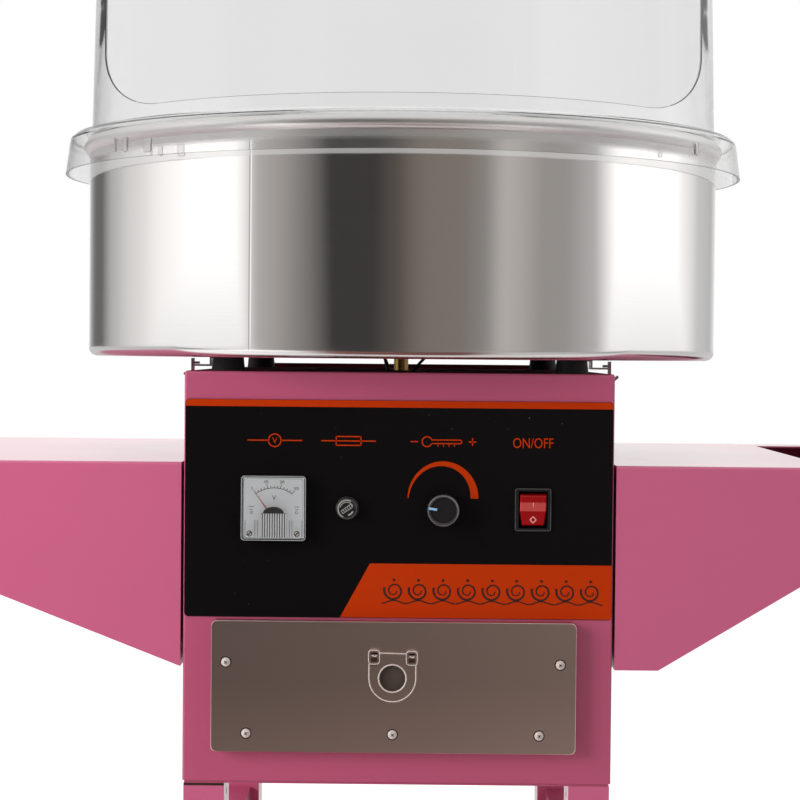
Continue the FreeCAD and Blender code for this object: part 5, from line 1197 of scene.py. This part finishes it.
class CandyDrawer(bpy.types.Operator):
    """Dresses the drawer: its round-cornered front, domed screws and hinged pull"""
    bl_idname = "candy.drawer"
    bl_label = "Drawer"

    def execute(self, context):
        low, high = corners("drawer_front")
        corner, bevel = 4.0, 0.25
        outline = round_box(low[0] + 0.3, high[0] + 0.6, low[2] + 0.4, high[2] + 1.7, corner, 12)
        pan = slab(outline, high[1], low[1], bevel)
        front = piece("drawer_pan", [pan], "drawer_steel", "drawer")
        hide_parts("drawer_front")
        self.screws(low, high)
        self.pull(low[1])
        return {"FINISHED"}

    def screws(self, low, high):
        """Domed heads in a pale tone, painted highlight: height falls with the square of the radius.
        A dark ring, painted shadow, and a dark cross, painted shade of its recess, lie on each.
        """
        left, right, upper, lower = low[0] + 11.0, high[0] - 11.0, high[2] - 28.6, low[2] + 14.0
        places = ((left, upper), (right, upper), (left + 15, lower), ((left + right) / 2, lower),
                  (right - 15, lower))
        y, head, crown, shank = low[1], 3.3, 2.1, 1.6
        r = np.linspace(0, head, 9)
        dome = np.stack([r, y - crown + 1.5 * (r / head) ** 2], 1)
        profile = path(dome, [(head, y + 0.2), (shank, y + 0.3), (shank, y + 4.0), (0.0, y + 4.0)])
        heads = [turned(profile, 32, place, "y", False) for place in places]
        marks = []
        for x, z in places:
            # Painted shadow round the head, and painted shade in its cross recess.
            marks.append(stroke(arc(3.75, 0, 360, 40, (x, z)), 0.75, y + 0.1, 0.25))
            for a, b in ((1.0, 0.8), (0.8, -1.0)):
                marks.append(segment(x - a, z - b, x + a, z + b, 0.5, y - 1.9, 0.3))
        screws = piece("drawer_screw_heads", heads, "rim", "drawer")
        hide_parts("drawer_screws")
        piece("drawer_screw_shadows", marks, "black_plastic", "drawer")

    def pull(self, face):
        """The finger plate hangs from a neck between two lugs: a half circle under straight sides.

        In each direction from the hole it reaches to the farther of two boxes, the plate's and the neck's.
        """
        x, z, hole, half, neck_half = -3.3, 478.8, 9.6, 17.4, 8.6
        shoulder, top, thick = 488.0, 496.4, 2.6
        back, front = face - 0.5, face - 0.5 - thick
        a = np.radians(np.arange(0, 360, 1.5))
        across, rise = np.maximum(np.abs(np.cos(a)), 1e-6), np.maximum(np.sin(a), 1e-6)
        body = np.minimum(half / across, (shoulder - z) / rise)
        neck = np.minimum(neck_half / across, (top - z) / rise)
        reach = np.where(np.sin(a) > 0, np.maximum(body, neck), half)
        plates = [ring_plate(around((x, z), reach, a), around((x, z), hole, a), back, thick)]
        plate_part = piece("pull_face", plates, "drawer_steel", "pull")
        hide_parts("pull_plate")
        rim = half - 0.4
        sides = path([(x - rim, 489.2)], arc(rim, 180, 360, 60, (x, z)), [(x + rim, 488.8)])
        torus = turned(arc(0.58, 0, 345, 24, (10.0, front)), 96, (x, z), "y")
        # The rims take a pale tone: painted highlight.
        piece("pull_rims", [tube(at_depth(sides, front), 0.5, 12), torus], "rim", "pull")
        # A dark disc on the drawer inside the ring: painted shadow.
        shade = np.array([(0.0, face - 0.3), (9.5, face - 0.3), (9.5, face + 0.1), (0.0, face + 0.1)])
        piece("pull_hole_shade", [turned(shade, 48, (x, z), "y", False)], "shade", "drawer")
        self.lugs(face, front)

    def lugs(self, face, front):
        """Two pressed lugs, each with a curl, bright rims of painted highlight and two dark wells of painted
        shade, and the pin between them.
        """
        lip, width, tall, inset = front - 0.9, 8.6, 10.6, 1.8
        lugs, rims, wells = [], [], []
        for left, low in ((-21.0, 489.0), (6.4, 488.4)):
            right, high = left + width, low + tall
            middle = (low + high) / 2
            lugs.append(slab(round_box(left, right, low, high, 2.2), face, lip, 0.4))
            edge = round_box(left + 0.3, right - 0.3, low + 0.3, high - 0.3, 2.2)
            curl = [(left + 2.6, lip, middle + 1.4), (right - 3.4, lip, middle + 0.6),
                    (right - 2.4, lip, middle + 1.4)]
            # The lug rims, curls and pin take a pale tone: painted highlight.
            rims += [tube(at_depth(edge, front - 0.7), 0.4, 10, True), tube(curl, 0.5, 10)]
            for bottom, up, radius in ((middle + 2.2, high - 1.9, 0.9), (low + 1.9, middle - 0.2, 1.2)):
                well = round_box(left + inset, right - inset, bottom, up, radius)
                # A dark slab in each well: painted shade.
                wells.append(slab(well, front, front - 1.05))
        bracket = piece("pull_lugs", lugs, "drawer_steel", "drawer")
        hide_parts("pull_bracket")
        rims.append(tube([(-12.6, front - 0.6, 497.4), (6.6, front - 0.6, 496.9)], 0.45, 10))
        piece("pull_lug_rims", rims, "rim", "drawer")
        piece("pull_lug_shade_wells", wells, "well", "drawer")


class CandyLegs(bpy.types.Operator):
    """Lays a dark strip over the left front leg: painted shadow in the gap under the housing"""
    bl_idname = "candy.legs"
    bl_label = "Leg gap"

    def execute(self, context):
        """A thin dark bar along the top of the leg's front face: painted shadow."""
        low, high = corners("front_left_leg")
        bar = block(low[0] + 0.4, high[0], low[1], low[1] - 0.2, high[2] - 1.9, high[2] - 0.1)
        piece("leg_gap_shadow", [bar], "well", "cart")
        return {"FINISHED"}


class CandyTyres(bpy.types.Operator):
    """Moulds the treaded tyres and the ribbed handle grip"""
    bl_idname = "candy.rubber"
    bl_label = "Tyres and grip"

    def execute(self, context):
        for name, body in (("front_tyre", "wheel_front"), ("rear_tyre", "wheel_rear")):
            self.tyre(name, body)
        self.grip()
        return {"FINISHED"}

    def tyre(self, name, body):
        """By angle round the wheel and by width across it: the crown's radius less the depth of each groove.

        The grooves of the two halves are set off by half a pitch, and die out down the shoulder.
        """
        lugs, depth = sizes().lugs, sizes().tread / MM
        low, high = corners(name)
        middle, outer = (low + high) / 2, (high[2] - low[2]) / 2
        seat, half, key, shoulder = outer - 20.0, 15.0, 8.0, 10
        crown = path(arc(shoulder, 0, 90, 9, (outer - shoulder, half - shoulder)))
        side = path([(outer, 0.0), (outer, 2.2)], crown,
                    [(seat + 6, half), (seat + 4, half - 0.8), (seat, half - 0.8),
                     (seat, key), (seat - 2.9, key - 0.2)])
        section = path(side, (side * (1, -1))[::-1])
        points, faces = turned(section, lugs * 8, (middle[0], middle[2]), "y")
        points[:, 1] += middle[1]
        along = points - middle
        radius, turn = np.hypot(along[:, 0], along[:, 2]), np.arctan2(along[:, 2], along[:, 0])
        phase = (turn * lugs / (2 * np.pi) + np.sign(along[:, 1]) * 0.25) % 1.0
        groove = np.clip(1.6 - np.abs(phase - 0.5) * 8, 0, 1) * (np.abs(along[:, 1]) > 1.5)
        fade = np.clip((radius - (outer - 7)) / 5, 0, 1)
        shrink = 1 - depth * groove * fade / radius
        for axis in (0, 2):
            points[:, axis] = middle[axis] + along[:, axis] * shrink
        tyre = piece(name + "_tread", [(points, faces)], "tyre", body, 40.0)
        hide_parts(name)

    def grip(self):
        """Along the grip the radius dips once for each ring, and rounds over at both ends."""
        low, high = corners("handle_grip")
        middle, outer = (low + high) / 2, (high[2] - low[2]) / 2
        half, bore, pitch = (high[1] - low[1]) / 2, 12.1, 5.0
        y = np.linspace(-half + 2.5, half - 2.5, 241)
        dip = sizes().rib / MM * (0.5 + 0.5 * np.cos(2 * np.pi * y / pitch)) ** 3
        section = path([(bore, -half + 0.4), (12.6, -half), (outer - 2.0, -half)],
                       arc(1.6, -60, 0, 4, (outer - 1.6, -half + 2.0)), np.stack([outer - dip, y], 1),
                       arc(1.6, 0, 60, 4, (outer - 1.6, half - 2.0)),
                       [(outer - 2.0, half), (12.6, half), (bore, half - 0.4)])
        points, faces = turned(section, 48, (middle[0], middle[2]), "y")
        points[:, 1] += middle[1]
        grip = piece("handle_grip_ribbed", [(points, faces)], "rubber", "cart", 50.0)
        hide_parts("handle_grip")


class CandyLeads(bpy.types.Operator):
    """Adds the two slanted heater leads between the housing and the brush block"""
    bl_idname = "candy.leads"
    bl_label = "Heater leads"

    def execute(self, context):
        """Each lead is a round bar through four points, measured up from the bowl's floor."""
        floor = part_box("bowl")[0][2] / MM
        height = floor + np.array([-13.0, -8.0, -4.0, 1.0])
        leads = []
        for side, spread in ((-1, 0.25), (1, 0.62)):
            out = 9.0 + spread * np.array([0.0, 4.5, 10.0, 18.0])
            leads.append(tube(np.stack([side * out, np.linspace(-19.0, -20.5, 4), height], 1), 1.2))
        piece("heater_leads", leads, "black_plastic", "cart", 60.0)
        return {"FINISHED"}


class CandyPanel(bpy.types.Panel):
    """Lists the steps that build the candy cart"""
    bl_idname = "VIEW3D_PT_candy"
    bl_label = "Candy Cart"
    bl_space_type = "VIEW_3D"
    bl_region_type = "UI"
    bl_category = "Candy Cart"

    def draw(self, context):
        for settings in (context.scene.candy_colours, context.scene.candy_sizes):
            for name in settings.__annotations__:
                self.layout.prop(settings, name)
        for step in STEPS:
            self.layout.operator(step.bl_idname)


STEPS = (CandyFinishes, CandyBowl, CandyDome, CandyPrints, CandyMeter, CandyControls, CandyDrawer,
         CandyLegs, CandyTyres, CandyLeads, CandyStage)
CLASSES = (CandyColours, CandySizes, *STEPS, CandyPanel)


def register():
    for kind in CLASSES:
        bpy.utils.register_class(kind)
    bpy.types.Scene.candy_colours = bpy.props.PointerProperty(type=CandyColours)
    bpy.types.Scene.candy_sizes = bpy.props.PointerProperty(type=CandySizes)


def unregister():
    del bpy.types.Scene.candy_colours
    del bpy.types.Scene.candy_sizes
    for kind in reversed(CLASSES):
        bpy.utils.unregister_class(kind)


def main():
    register()
    for step in STEPS:
        family, name = step.bl_idname.split(".")
        getattr(getattr(bpy.ops, family), name)()


if __name__ == "__main__":
    main()
